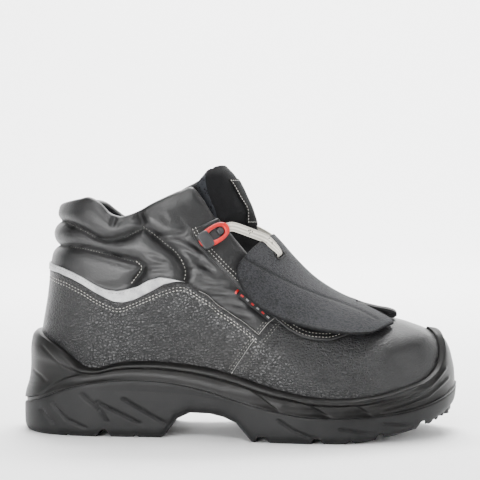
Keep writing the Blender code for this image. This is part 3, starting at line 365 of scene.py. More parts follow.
@dataclass
class Last:
    """The sheet laid round the foot, from which every piece is worked out."""

    end: float = 17.0
    tables: tuple[Table, ...] = (BED_LINE, LOW_LINE, MID_LINE, HIGH_LINE, TOP_LINE)
    collar_end: float = 8.2
    throat_start: float = 9.2
    search_steps: int = 121
    dense_steps: int = 600
    lines: list[Array] = field(init=False)

    def __post_init__(self) -> None:
        """Closes the five tables round the foot."""
        self.lines = [self.closed(table, share) for table, share in zip(self.tables, AXIS_SHARE)]

    @property
    def turn(self) -> float:
        """Stations in one whole round."""
        return 2.0 * self.end

    def by_station(self, table: Table, stations: Array) -> Array:
        """Reads a station table's first value, the same on both sides of the foot."""
        stations = np.mod(stations, self.turn)
        rows = np.asarray(table, float)
        return hermite(rows[:, 0], rows[:, 1:], np.minimum(stations, self.turn - stations))[:, 0]

    def closed(self, table: Table, share: float) -> Array:
        """Turns a table of side points into a ring.

        Args:
            table: Station, x, half width and height.
            share: How much of the foot's curve the ring keeps.

        Returns:
            Rows of station, x, y and height.
        """
        rows = []
        for station, x, half, height in table:
            middle = float(self.by_station(AXIS, np.array([station]))[0]) * share
            rows.append((station, x, middle - half, height))
            if 0 < station < self.end:
                drop = float(hermite(*np.array(MEDIAL_DROP).T, np.array([station]))[0, 0])
                lower = drop if table is TOP_LINE else 0.0
                rows.append((self.turn - station, x, middle + half, height - lower))
        return np.array(sorted(rows))

    def sheet(self, stations: Array, levels: Array) -> Array:
        """Places points on the outer sheet.

        Args:
            stations: Stations round the foot.
            levels: Levels, 0 at the foot bed and 1 at the top edge.

        Returns:
            Points in millimetres.
        """
        stations = np.asarray(stations, float)
        levels = np.clip(np.asarray(levels, float), 0.0, 1.0)
        rings = [hermite(rows[:, 0], rows[:, 1:], stations, self.turn) for rows in self.lines]
        points = np.stack(rings, axis=1)
        before = 2 * points[:, :1] - points[:, 1:2]
        reach = np.linalg.norm(np.diff(np.concatenate((before, points), axis=1), axis=1), axis=2)
        knots = np.cumsum(reach, axis=1)
        knots = (knots - knots[:, :1]) / (knots[:, -1:] - knots[:, :1])
        return across_rows(knots, points, levels)

    def outward(self, stations: Array, levels: Array) -> Array:
        """Unit normals of the sheet, away from the foot."""
        stations = np.asarray(stations, float)
        levels = np.clip(np.asarray(levels, float), 0.0, 1.0)
        along = self.sheet(stations + 0.05, levels) - self.sheet(stations - 0.05, levels)
        above, below = np.minimum(levels + 0.01, 1.0), np.maximum(levels - 0.01, 0.0)
        return unit(np.cross(along, self.sheet(stations, above) - self.sheet(stations, below)))

    def lifted(self, stations: Array, levels: Array, lift: Array | float) -> Array:
        """Points at a height above the sheet."""
        height = np.broadcast_to(np.asarray(lift, float), np.shape(stations))
        return self.sheet(stations, levels) + self.outward(stations, levels) * height[:, None]

    def crossing(self, stations: Array, line: Array | Line, first: float = 0.0) -> Array:
        """Finds where each side line meets a line drawn on the side view.

        Args:
            stations: Stations of the side lines.
            line: The line as x, z.
            first: Lowest level that counts.

        Returns:
            One level for each, or nan.
        """
        levels = np.linspace(first, 1.0, self.search_steps)
        route = np.asarray(line, float)
        other = route[None, :-1]
        run = (route[1:] - route[:-1])[None]
        found = []
        for station in stations:
            path = self.sheet(np.full(len(levels), station), levels)[:, (0, 2)]
            start, step = path[:-1, None], (path[1:] - path[:-1])[:, None]
            cross = step[..., 0] * run[..., 1] - step[..., 1] * run[..., 0]
            cross = np.where(np.abs(cross) < 1e-9, 1e-9, cross)
            gap = other - start
            here = (gap[..., 0] * run[..., 1] - gap[..., 1] * run[..., 0]) / cross
            there = (gap[..., 0] * step[..., 1] - gap[..., 1] * step[..., 0]) / cross
            hits = np.argwhere((here >= 0) & (here <= 1) & (there >= 0) & (there <= 1))
            if len(hits):
                found.append(levels[hits[0][0]] + here[tuple(hits[0])] * (levels[1] - levels[0]))
            else:
                found.append(np.nan)
        return np.array(found)

    def locate(self, line: Array, side: Side) -> Pair:
        """Finds side-view points on the sheet.

        Args:
            line: Points as x, z.
            side: The side that they lie on.

        Returns:
            Their stations and levels.
        """
        coarse_s, coarse_l = np.meshgrid(np.linspace(0.2, self.end - 0.2, 84), np.linspace(0.02, 1, 50))
        coarse_s, coarse_l = coarse_s.ravel(), coarse_l.ravel()
        seen = self.sheet(coarse_s, coarse_l)[:, (0, 2)]
        closest = np.argmin(((line[:, None] - seen[None]) ** 2).sum(axis=2), axis=1)
        stations, levels = coarse_s[closest], coarse_l[closest]
        for _ in range(6):
            here = self.sheet(stations, levels)[:, (0, 2)]
            along = (self.sheet(stations + 0.01, levels)[:, (0, 2)] - here) / 0.01
            rise = (here - self.sheet(stations, levels - 0.004)[:, (0, 2)]) / 0.004
            miss = line - here
            det = along[:, 0] * rise[:, 1] - along[:, 1] * rise[:, 0]
            det = np.where(np.abs(det) < 1.0, np.copysign(1.0, det), det)
            stations = stations + np.clip((miss[:, 0] * rise[:, 1] - miss[:, 1] * rise[:, 0]) / det, -1, 1)
            levels = levels + np.clip((along[:, 0] * miss[:, 1] - along[:, 1] * miss[:, 0]) / det, -0.1, 0.1)
            stations = np.clip(stations, 0.0, self.end)
            levels = np.clip(levels, 0.01, 1.0)
        return (stations if side is Side.LATERAL else self.turn - stations), levels

    def collar_share(self, stations: Array) -> Array:
        """1 at the padded collar, 0 from the throat's start to the toe."""
        side = np.mod(stations, self.turn)
        side = np.minimum(side, self.turn - side)
        return 1.0 - ease((side - self.collar_end) / (self.throat_start - self.collar_end))

    def columns(self, count: int, level: float = 0.4) -> Array:
        """Spaces stations evenly round the foot.

        Args:
            count: How many.
            level: Level at which they are even.

        Returns:
            Stations, heel first, the same on both sides.
        """
        dense = np.linspace(0.0, self.end, self.dense_steps)
        ring = self.sheet(dense, np.full(len(dense), level))
        reach = reach_of(ring)
        side = np.interp(np.linspace(0.0, reach[-1], count // 2 + 1), reach, dense)
        return np.concatenate((side, self.turn - side[-2:0:-1]))


@dataclass
class Net:
    """A smooth sheet through control rows, read from 0 to 1 along and -1 to 1 across."""

    rows: Array
    across: tuple[float, ...]
    facing: float = 1.0

    def point(self, v: Array, w: Array) -> Array:
        """Points at places along and across."""
        rows = np.asarray(self.rows, float)
        along = np.linspace(0.0, 1.0, len(rows))
        lines = hermite(along, rows.reshape(len(rows), -1), v).reshape(len(v), rows.shape[1], 3)
        return across_rows(np.asarray(self.across), lines, np.asarray(w, float))

    def read(self, v: Array, w: Array) -> tuple[Array, Array, Array]:
        """Reads points, unit normals and the direction along the net.

        Args:
            v: Places along.
            w: Places across.

        Returns:
            Points, normals and directions.
        """
        v, w = np.asarray(v, float), np.asarray(w, float)
        step = 0.004
        ahead = self.point(np.minimum(v + step, 1.0), w) - self.point(np.maximum(v - step, 0.0), w)
        aside = self.point(v, np.minimum(w + step, 1.0)) - self.point(v, np.maximum(w - step, -1.0))
        return self.point(v, w), unit(np.cross(aside, ahead)) * self.facing, unit(ahead)

    def line(self, route: Table, pitch: float) -> Pair:
        """Even points and normals along a route of v, w places."""
        places = smooth(route, 240)
        reach = reach_of(self.point(places[:, 0], places[:, 1]))
        where = np.linspace(0.0, reach[-1], max(2, int(reach[-1] / pitch)))
        v, w = (np.interp(where, reach, places[:, axis]) for axis in (0, 1))
        points, normals, _ = self.read(v, w)
        return points, normals


@dataclass
class Columns:
    """Side lines of the sheet, for rings that are placed by height."""

    last: Last
    stations: Array
    levels: Array = field(default_factory=lambda: np.linspace(0.0, 0.8, 161))

    def __post_init__(self) -> None:
        """Reads the side lines once."""
        count, steps = len(self.stations), len(self.levels)
        grid = self.last.sheet(np.repeat(self.stations, steps), np.tile(self.levels, count))
        self.rise = np.maximum.accumulate(grid[:, 2].reshape(count, steps), axis=1) + np.arange(steps) * 1e-7
        self.bed = self.last.sheet(self.stations, np.zeros(count))
        self.flat = self.last.outward(self.stations, np.full(count, 0.02))
        self.flat[:, 2] = 0.0
        self.flat = unit(self.flat)

    def level(self, heights: Array) -> Array:
        """Level at which each side line first reaches its height."""
        return np.array([np.interp(height, path, self.levels) for height, path in zip(heights, self.rise)])

    def ring(self, heights: Array, depth: Array) -> Array:
        """Places a ring round the sole.

        Args:
            heights: Height of each point.
            depth: How far each stands outside the upper.

        Returns:
            The ring's points.
        """
        levels = self.level(heights)
        points = self.last.sheet(self.stations, levels)
        normal = self.last.outward(self.stations, levels)
        under = (heights < self.bed[:, 2])[:, None]
        points = np.where(under, np.column_stack((self.bed[:, :2], heights)), points)
        return points + np.where(under, self.flat, normal) * np.asarray(depth, float).reshape(-1, 1)


def tread_at(x: Array) -> Array:
    """Height of the tread plane."""
    return np.interp(x, *np.transpose(TREAD))


def both_sides(row: Table) -> list[tuple[float, float, float]]:
    """A control row from its lateral half, mirrored to the medial side."""
    lateral = [(x, -y, z) for x, y, z in row]
    return lateral + [(x, y, z) for x, y, z in reversed(row[:-1])]


def grid_places(along: Array, across: Array) -> Pair:
    """Flat lists of a grid's places."""
    v, w = np.meshgrid(along, across, indexing="ij")
    return v.ravel(), w.ravel()


def strip_faces(rows: int, count: int, loop: bool = False, base: int = 0, flip: bool = False) -> Array:
    """Quads between rows of points.

    Args:
        rows: Number of rows.
        count: Points in a row.
        loop: True where each row is a ring.
        base: Index of the first point.
        flip: True to turn the faces over.

    Returns:
        Four indices a face.
    """
    last = count if loop else count - 1
    row, column = np.meshgrid(np.arange(rows - 1), np.arange(last), indexing="ij")
    near = base + row * count + column
    far = base + row * count + (column + 1) % count
    faces = np.stack((near, far, far + count, near + count), axis=-1).reshape(-1, 4)
    return faces[:, ::-1] if flip else faces


def slab_faces(rows: int, count: int, flip: bool = False) -> list:
    """Faces of a closed slab, whose upper points come first and then as many lower ones.

    Args:
        rows: Rows of points.
        count: Points in a row.
        flip: True to turn the faces over.

    Returns:
        Four indices a face.
    """
    total = rows * count
    faces = [*strip_faces(rows, count, flip=flip), *strip_faces(rows, count, base=total, flip=not flip)]
    border = list(range(count)) + [row * count + count - 1 for row in range(1, rows)]
    border += list(range(total - 2, total - count - 1, -1)) + [row * count for row in range(rows - 2, 0, -1)]
    for here, there in zip(border, border[1:] + border[:1]):
        quad = (there, here, here + total, there + total)
        faces.append(quad[::-1] if flip else quad)
    return faces


@dataclass
class Piece:
    """Points, faces and attributes of one object before it is made."""

    name: str
    verts: list[Array] = field(default_factory=list)
    faces: list[tuple[int, ...]] = field(default_factory=list)
    finish_of_face: list[int] = field(default_factory=list)
    values: dict[str, list[Array]] = field(default_factory=dict)

    @property
    def size(self) -> int:
        """Number of points so far."""
        return sum(len(block) for block in self.verts)

    def add(self, verts: Array, faces: Array | list, **values: Array | float) -> None:
        """Adds a block of points and the faces between them.

        Args:
            verts: Points in millimetres.
            faces: Faces, counted from the block's first point.
            values: Attribute values, one for each point or one for all.
        """
        base = self.size
        for name, value in values.items():
            blocks = self.values.setdefault(name, [np.zeros(base)] if base else [])
            blocks.append(np.broadcast_to(np.asarray(value, float), (len(verts),)))
        for name, blocks in self.values.items():
            if name not in values:
                blocks.append(np.zeros(len(verts)))
        self.verts.append(np.asarray(verts, float))
        self.faces.extend(tuple(int(index) + base for index in face) for face in faces)
        self.finish_of_face.extend([0] * len(faces))

    def make(self, finishes: list[Material], smooth_angle: float = 50.0) -> Object:
        """Makes the object.

        Args:
            finishes: Its materials.
            smooth_angle: Edges sharper than this many degrees stay sharp.

        Returns:
            The new object, at the origin.
        """
        mesh = bpy.data.meshes.new(self.name)
        mesh.from_pydata(in_metres(np.concatenate(self.verts)), [], self.faces)
        mesh.polygons.foreach_set("material_index", self.finish_of_face)
        for name, blocks in self.values.items():
            attribute = mesh.attributes.new(name, "FLOAT", "POINT")
            attribute.data.foreach_set("value", np.concatenate(blocks).astype(np.float32))
        for finish in finishes:
            mesh.materials.append(finish)
        mesh.validate()
        mesh.shade_smooth()
        mesh.set_sharp_from_angle(angle=math.radians(smooth_angle))
        return new_object(self.name, mesh)


def settle(item: Object, slot: str, *nodes: str) -> None:
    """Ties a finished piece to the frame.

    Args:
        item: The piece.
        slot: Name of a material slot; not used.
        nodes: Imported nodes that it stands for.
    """
    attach(item, BODY)
    if nodes:
        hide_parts(*nodes)
    LOG.info("%s: %d faces", item.name, len(item.data.polygons))


def apply_modifiers(item: Object) -> None:
    """Turns an object's modified shape into its own mesh."""
    graph = bpy.context.evaluated_depsgraph_get()
    mesh = bpy.data.meshes.new_from_object(item.evaluated_get(graph))
    item.modifiers.clear()
    old = item.data
    item.data = mesh
    bpy.data.meshes.remove(old)


def weld(item: Object) -> None:
    """Joins points that lie on each other."""
    change = item.modifiers.new("weld", "WELD")
    change.merge_threshold = WELD_REACH
    apply_modifiers(item)


def ribbon(piece: Piece, route: Array, wide: Array, width: float, thick: float, sides: int = 12,
           fine: int = 8, power: float = 3.0) -> None:
    """Adds a flat band with rounded edges along a route.

    Args:
        piece: Where it is added.
        route: Points that it follows.
        wide: Direction of its width at each point.
        width: Width in millimetres.
        thick: Thickness in millimetres.
        sides: Points round the section.
        fine: Steps between two points of the route.
        power: Squareness of the section, 2 for an ellipse.
    """
    count = fine * (len(route) - 1) + 1
    centre, side = smooth(route, count), smooth(wide, count)
    run = heading(centre)
    side = unit(side - run * np.sum(side * run, axis=1, keepdims=True))
    near, high = outline(width, thick, sides, power).T[:, None, :, None]
    rings = centre[:, None] + side[:, None] * near + np.cross(run, side)[:, None] * high
    last = (count - 1) * sides
    caps = [range(sides - 1, -1, -1), range(last, last + sides)]
    piece.add(rings.reshape(-1, 3), list(strip_faces(count, sides, loop=True)) + caps,
              run=np.repeat(reach_of(centre), sides), side=np.tile(near.ravel() / width + 0.5, count))


class Socket:
    """A node's output that adds Math nodes when it is used in an expression."""

    def __init__(self, tree: "Shader", output: bpy.types.NodeSocket) -> None:
        """Wraps an output of a shader tree."""
        self.tree = tree
        self.output = output

    def _math(self, operation: str, first: "Socket | float", second: "Socket | float" = 0.0) -> "Socket":
        """Adds one Math node and gives its output."""
        return self.tree.node("ShaderNodeMath", {"operation": operation}, {0: first, 1: second})

    def __add__(self, other: "Socket | float") -> "Socket":
        """Sum."""
        return self._math("ADD", self, other)

    __radd__ = __add__

    def __sub__(self, other: "Socket | float") -> "Socket":
        """Difference."""
        return self._math("SUBTRACT", self, other)

    def __rsub__(self, other: "Socket | float") -> "Socket":
        """Difference, reflected."""
        return self._math("SUBTRACT", other, self)

    def __mul__(self, other: "Socket | float") -> "Socket":
        """Product."""
        return self._math("MULTIPLY", self, other)

    __rmul__ = __mul__

    def __truediv__(self, other: "Socket | float") -> "Socket":
        """Quotient."""
        return self._math("DIVIDE", self, other)

    def __gt__(self, other: "Socket | float") -> "Socket":
        """1 where it is greater."""
        return self._math("GREATER_THAN", self, other)

    def sine(self) -> "Socket":
        """Sine."""
        return self._math("SINE", self)

    def fract(self) -> "Socket":
        """Part after the point."""
        return self._math("FRACT", self)

    def least(self, other: "Socket | float") -> "Socket":
        """Smaller of two."""
        return self._math("MINIMUM", self, other)

    def most(self, other: "Socket | float") -> "Socket":
        """Larger of two."""
        return self._math("MAXIMUM", self, other)

    def span(self, low: float, high: float) -> "Socket":
        """Smooth step between two values."""
        return self.tree.node("ShaderNodeMapRange", {"interpolation_type": "SMOOTHSTEP"},
                              {0: self, 1: low, 2: high, 3: 0.0, 4: 1.0})


class Shader:
    """One material's tree, with its Principled shader."""

    def __init__(self, name: str) -> None:
        """Makes an empty material of that name."""
        self.material = bpy.data.materials.new(name)
        self.material.use_nodes = True
        self.tree = self.material.node_tree
        self.surface = self.tree.nodes["Principled BSDF"]

    def node(self, kind: str, settings: dict | None = None, sockets: dict | None = None,
             output: int | str = 0) -> Socket:
        """Adds a node.

        Args:
            kind: The node's type.
            settings: Its own settings, set first.
            sockets: Values or links, by socket name or number.
            output: Which output is given back.

        Returns:
            That output.
        """
        made = self.tree.nodes.new(kind)
        for name, value in (settings or {}).items():
            setattr(made, name, value)
        for name, value in (sockets or {}).items():
            self.set(made, name, value)
        return Socket(self, made.outputs[output])

    def set(self, node: bpy.types.Node, name: int | str, value: object) -> None:
        """Links or sets one input of a node."""
        if isinstance(value, Socket):
            self.tree.links.new(value.output, node.inputs[name])
        else:
            node.inputs[name].default_value = value

    def place(self) -> Socket:
        """Object coordinates, in metres."""
        return self.node("ShaderNodeTexCoord", output="Object")

    def value(self, name: str) -> Socket:
        """A number that the mesh holds at each point."""
        return self.node("ShaderNodeAttribute", {"attribute_name": name}, output="Fac")

    def noise(self, size: float, detail: float = 3.0, rough: float = 0.5, warp: float = 0.0,
              place: Socket | None = None) -> Socket:
        """Cloudy pattern about 0.5, with patches of a size in millimetres."""
        return self.node("ShaderNodeTexNoise", None, {
            "Vector": place or self.place(), "Scale": 1.0 / (size * MM), "Detail": detail,
            "Roughness": rough, "Distortion": warp})

    def cells(self, size: float, feature: str = "F1", place: Socket | None = None,
              random: float = 1.0) -> Socket:
        """Distances in a pattern of cells of a size in millimetres; random 0 is a grid."""
        return self.node("ShaderNodeTexVoronoi", {"feature": feature}, {
            "Vector": place or self.place(), "Scale": 1.0 / (size * MM), "Randomness": random})

    def mix(self, share: Socket | float, first: object, second: object) -> Socket:
        """Mixes two colours."""
        settings = {"data_type": "RGBA"}
        return self.node("ShaderNodeMix", settings, {0: share, 6: first, 7: second}, output=2)

    def bump(self, height: Socket, depth: float) -> Socket:
        """Relief in the shading, from a pattern of 0 to 1 and its depth in millimetres."""
        return self.node("ShaderNodeBump", None, {"Strength": 1.0, "Distance": depth * MM, "Height": height})

    def finish(self, **inputs: object) -> Material:
        """Sets the shader's sockets; underscores in the names stand for spaces."""
        for name, value in inputs.items():
            self.set(self.surface, name.replace("_", " "), value)
        return self.material


def rgb(*channels: float) -> tuple[float, ...]:
    """Linear colour from screen values of 0 to 255."""
    shares = [value / 255.0 for value in channels]
    return (*(x / 12.92 if x <= 0.04045 else ((x + 0.055) / 1.055) ** 2.4 for x in shares), 1.0)


def darker(colour: tuple[float, ...], share: float) -> tuple[float, ...]:
    """A share of a colour's light."""
    return (*(channel * share for channel in colour[:3]), 1.0)


@dataclass(frozen=True)
class LeatherFinish:
    """Black leather, pebbled or smooth as the mesh's grain value says."""

    name: str = "leather"
    dark: tuple = rgb(5, 5, 6)
    light: tuple = rgb(20, 20, 21)
    # Grey for the lighter patches: part rubbed wear, part painted highlight.
    worn: tuple = rgb(44, 43, 42)
    pebble: float = 2.3
    depth: float = 0.42

    def make(self) -> Material:
        """Builds the material."""
        shader = Shader(self.name)
        grain, worn, seam = (shader.value(name) for name in ("grain", "worn", "seam"))
        place = shader.node("ShaderNodeMapping", None, {
            "Vector": shader.place(), "Rotation": (0.0, 0.5, 0.0), "Scale": (1.0, 1.0, 1.2)})
        swirl = {"Vector": place, "Scale": 330.0, "Detail": 3.0}
        twist = shader.node("ShaderNodeTexNoise", None, swirl, "Color")
        twist = shader.node("ShaderNodeVectorMath", {"operation": "SCALE"}, {0: twist, "Scale": 0.0022})
        bent = shader.node("ShaderNodeVectorMath", {"operation": "ADD"}, {0: place, 1: twist})
        hump = shader.cells(self.pebble, "DISTANCE_TO_EDGE", bent).span(0.0, 0.24)
        drift = shader.noise(9.0, 2.0)
        fine = shader.noise(0.6, 2.0)
        pore = shader.noise(1.5, 3.0, 0.6, 0.6)
        relief = hump * grain + fine * 0.14 + pore * (1.0 - grain) * 0.42
        tone = (hump * grain * 0.55 + drift * 0.35 + fine * 0.3).span(0.15, 0.95)
        colour = shader.mix(tone, self.dark, self.light)
        # Lightened towards that grey: part wear, part painted highlight on the lower quarter, the vamp and
        # the toe.
        colour = shader.mix(worn * (0.5 + drift * 0.6), colour, self.worn)
        # Along the seam troughs and just off the overlay edges, the seam value darkens the colour: painted
        # shade.
        colour = shader.mix(seam * 0.85, colour, rgb(3, 3, 3))
        rough = 0.34 + drift * 0.1 - hump * grain * 0.04 + seam * 0.4
        return shader.finish(Base_Color=colour, Roughness=rough, Normal=shader.bump(relief, self.depth),
                             Specular_IOR_Level=0.5)


@dataclass(frozen=True)
class RubberFinish:
    """Moulded rubber or foam with a fine skin and faint streaks."""

    name: str
    dark: tuple
    light: tuple
    rough: float
    coat: float

    def make(self) -> Material:
        """Builds the material."""
        shader = Shader(self.name)
        cloud = shader.noise(14.0, 3.0)
        skin = shader.noise(0.7, 3.0, 0.6)
        pits = 1.0 - shader.cells(2.6).span(0.0, 0.14)
        scuff = shader.node("ShaderNodeMapping", None, {
            "Vector": shader.place(), "Scale": (60.0, 60.0, 620.0)})
        streak = shader.node("ShaderNodeTexNoise", None, {"Vector": scuff, "Scale": 1.0, "Detail": 4.0})
        streak = streak.span(0.56, 0.74)
        tone = (cloud * 0.7 + skin * 0.3).span(0.2, 0.8)
        colour = shader.mix((tone + streak * 0.35).least(1.0), self.dark, self.light)
        relief = skin * 0.5 - pits * 0.4 + streak * 0.15
        rough = self.rough + cloud * 0.1 - 0.05 + streak * 0.1
        return shader.finish(Base_Color=colour, Roughness=rough, Normal=shader.bump(relief, 0.12),
                             Coat_Weight=self.coat, Coat_Roughness=0.35, Specular_IOR_Level=0.22)


@dataclass(frozen=True)
class FeltFinish:
    """The guard's stiff grained sheet, mottled and matt."""

    name: str = "guard sheet"
    dark: tuple = rgb(12, 12, 14)
    light: tuple = rgb(40, 41, 44)

    def make(self) -> Material:
        """Builds the material."""
        shader = Shader(self.name)
        speck = shader.noise(1.0, 4.0, 0.8)
        cloud = shader.noise(9.0, 3.0, 0.6)
        dimple = shader.cells(1.3)
        # The colour is darkened where rim is set: in a band at the border, and over the whole underside as
        # painted shade.
        rim, seam = shader.value("rim"), shader.value("seam")
        tone = (speck * 1.3 + cloud * 0.4 - dimple * 0.45).span(0.35, 0.85)
        colour = shader.mix(tone, self.dark, self.light)
        # seam darkens the pressed line: painted shade in the crease.
        colour = shader.mix((rim * 0.8 + seam * 0.85).least(1.0), colour, rgb(8, 8, 9))
        relief = speck * 1.0 - dimple * 0.8
        return shader.finish(Base_Color=colour, Roughness=0.6 + cloud * 0.12,
                             Normal=shader.bump(relief, 0.5), Specular_IOR_Level=0.2)


@dataclass(frozen=True)
class ClothFinish:
    """Knitted or woven cloth; its threads follow the object's own axes."""

    name: str
    dark: tuple
    light: tuple
    thread: float
    depth: float
    mesh: bool = False
    loose: float = 0.25

    def make(self) -> Material:
        """Builds the material."""
        shader = Shader(self.name)
        if self.mesh:
            weave = shader.cells(self.thread, random=self.loose).span(0.12, 0.5)
        else:
            weave = 1.0 - shader.cells(self.thread, random=0.5).span(0.0, 0.8)
        fuzz = shader.noise(0.5, 3.0, 0.7)
        cloud = shader.noise(16.0, 3.0)
        tone = (weave * 0.6 + fuzz * 0.2 + cloud * 0.3).span(0.1, 1.0)
        return shader.finish(Base_Color=shader.mix(tone, self.dark, self.light), Roughness=0.86,
                             Normal=shader.bump(weave + fuzz * 0.3, self.depth), Specular_IOR_Level=0.2)


@dataclass(frozen=True)
class BandFinish:
    """Flat woven band; its ribs follow the band's own length and width."""

    name: str
    dark: tuple
    light: tuple
    rib: float
    flecks: tuple[float, ...] = ()

    def make(self) -> Material:
        """Builds the material."""
        shader = Shader(self.name)
        run, side = shader.value("run"), shader.value("side")
        wave, other = ((run * (math.pi / self.rib) + side * tilt).sine() for tilt in (9.0, -9.0))
        weave = (wave * other * 0.5 + 0.5).span(0.1, 0.9)
        fuzz = shader.noise(0.6, 3.0, 0.7)
        tone = (weave * 0.6 + fuzz * 0.5).span(0.1, 0.9)
        colour = shader.mix(tone, self.dark, self.light)
        for start in self.flecks:
            near = (run > start) * (1.0 - (run > start + 5.0)) * (side > 0.2) * (1.0 - (side > 0.8))
            spots = 1.0 - shader.cells(1.5).span(0.3, 0.36)
            colour = shader.mix(near * spots, colour, rgb(30, 30, 30))
        return shader.finish(Base_Color=colour, Roughness=0.8, Specular_IOR_Level=0.25,
                             Normal=shader.bump(weave + fuzz * 0.3, 0.22))


@dataclass(frozen=True)
class ReflectiveFinish:
    """Silver reflective tape."""

    name: str = "reflective tape"

    def make(self) -> Material:
        """Builds the material."""
        shader = Shader(self.name)
        cloud = shader.noise(7.0, 3.0)
        bead = shader.cells(0.5)
        tone = (cloud * 0.8 + bead * 0.2).span(0.2, 0.8)
        colour = shader.mix(tone, rgb(128, 129, 131), rgb(196, 196, 196))
        return shader.finish(Base_Color=colour, Roughness=0.42 + cloud * 0.1, Metallic=0.25,
                             Normal=shader.bump(cloud + bead * 0.2, 0.25))


@dataclass(frozen=True)
class PlasticFinish:
    """Moulded plastic with a fine spark-eroded skin."""

    name: str
    colour: tuple
    rough: float = 0.35

    def make(self) -> Material:
        """Builds the material."""
        shader = Shader(self.name)
        cloud = shader.noise(5.0, 3.0)
        skin = shader.noise(0.35, 2.0)
        colour = shader.mix(cloud.span(0.3, 0.75), darker(self.colour, 0.72), self.colour)
        return shader.finish(Base_Color=colour, Roughness=self.rough + skin * 0.1,
                             Normal=shader.bump(skin, 0.06), Coat_Weight=0.15, Coat_Roughness=0.2)


@dataclass(frozen=True)
class ThreadFinish:
    """Twisted sewing thread."""

    name: str
    colour: tuple

    def make(self) -> Material:
        """Builds the material."""
        shader = Shader(self.name)
        twist = shader.noise(0.4, 2.0)
        shade = shader.noise(11.0, 2.0)
        tone = (twist * 0.5 + shade * 0.6).span(0.3, 0.72)
        colour = shader.mix(tone, darker(self.colour, 0.3), self.colour)
        return shader.finish(Base_Color=colour, Roughness=0.7, Normal=shader.bump(twist, 0.1))


@dataclass(frozen=True)
class TapeFinish:
    """Black woven tape with plain dashes in red and grey along it."""

    name: str = "dashed tape"
    dash: float = 4.6

    def make(self) -> Material:
        """Builds the material."""
        shader = Shader(self.name)
        run, side = shader.value("run"), shader.value("side")
        beat = (run / self.dash).fract()
        dash = (beat > 0.24) * (1.0 - (beat > 0.72)) * (side > 0.34) * (1.0 - (side > 0.66))
        pair = (run / (2 * self.dash)).fract() > 0.5
        fuzz = shader.noise(0.5, 3.0, 0.7)
        ground = shader.mix(fuzz, rgb(16, 16, 17), rgb(38, 38, 39))
        colour = shader.mix(dash * (0.55 + fuzz * 0.6).least(1.0), ground,
                            shader.mix(pair, rgb(196, 40, 38), rgb(150, 150, 150)))
        return shader.finish(Base_Color=colour, Roughness=0.8, Normal=shader.bump(fuzz + dash * 0.4, 0.15))


class Finishes:
    """Every material of the boot, made once."""

    def __init__(self) -> None:
        """Makes the materials."""
        self.leather = LeatherFinish().make()
        self.midsole = RubberFinish("midsole", rgb(8, 8, 8), rgb(21, 20, 19), 0.42, 0.04).make()
        self.outsole = RubberFinish("outsole", rgb(10, 10, 11), rgb(27, 27, 27), 0.5, 0.0).make()
        self.guard = FeltFinish().make()
        self.lining = ClothFinish("lining mesh", rgb(8, 8, 9), rgb(24, 24, 26), 1.6, 0.4, True).make()
        self.tongue = ClothFinish("tongue cloth", rgb(6, 6, 7), rgb(15, 16, 18), 0.5, 0.12).make()
        self.strip = ClothFinish("tongue mesh", rgb(3, 3, 4), rgb(44, 46, 50), 1.7, 0.7, True, 0.9).make()
        self.label = ClothFinish("label cloth", rgb(4, 4, 5), rgb(12, 12, 13), 0.45, 0.12).make()
        self.insole = ClothFinish("insole cloth", rgb(24, 24, 26), rgb(48, 48, 50), 1.2, 0.3).make()
        self.webbing = BandFinish("webbing", rgb(2, 2, 3), rgb(15, 15, 16), 0.9).make()
        self.lace = BandFinish("lace", rgb(150, 146, 134), rgb(236, 232, 220), 0.8, (17.0, 35.0)).make()
        self.reflective = ReflectiveFinish().make()
        self.red = PlasticFinish("red plastic", rgb(196, 10, 8), 0.3).make()
        self.grey = PlasticFinish("grey plastic", rgb(38, 39, 41), 0.42).make()
        self.thread = ThreadFinish("light thread", rgb(205, 203, 195)).make()
        self.dim_thread = ThreadFinish("grey thread", rgb(126, 125, 120)).make()
        # Also paints the highlight line along the quarter's edge.
        self.cut = ThreadFinish("cut edge", rgb(170, 169, 165)).make()
        self.hole = PlasticFinish("hole shade", rgb(4, 4, 4), 0.9).make()
        self.tape = TapeFinish().make()


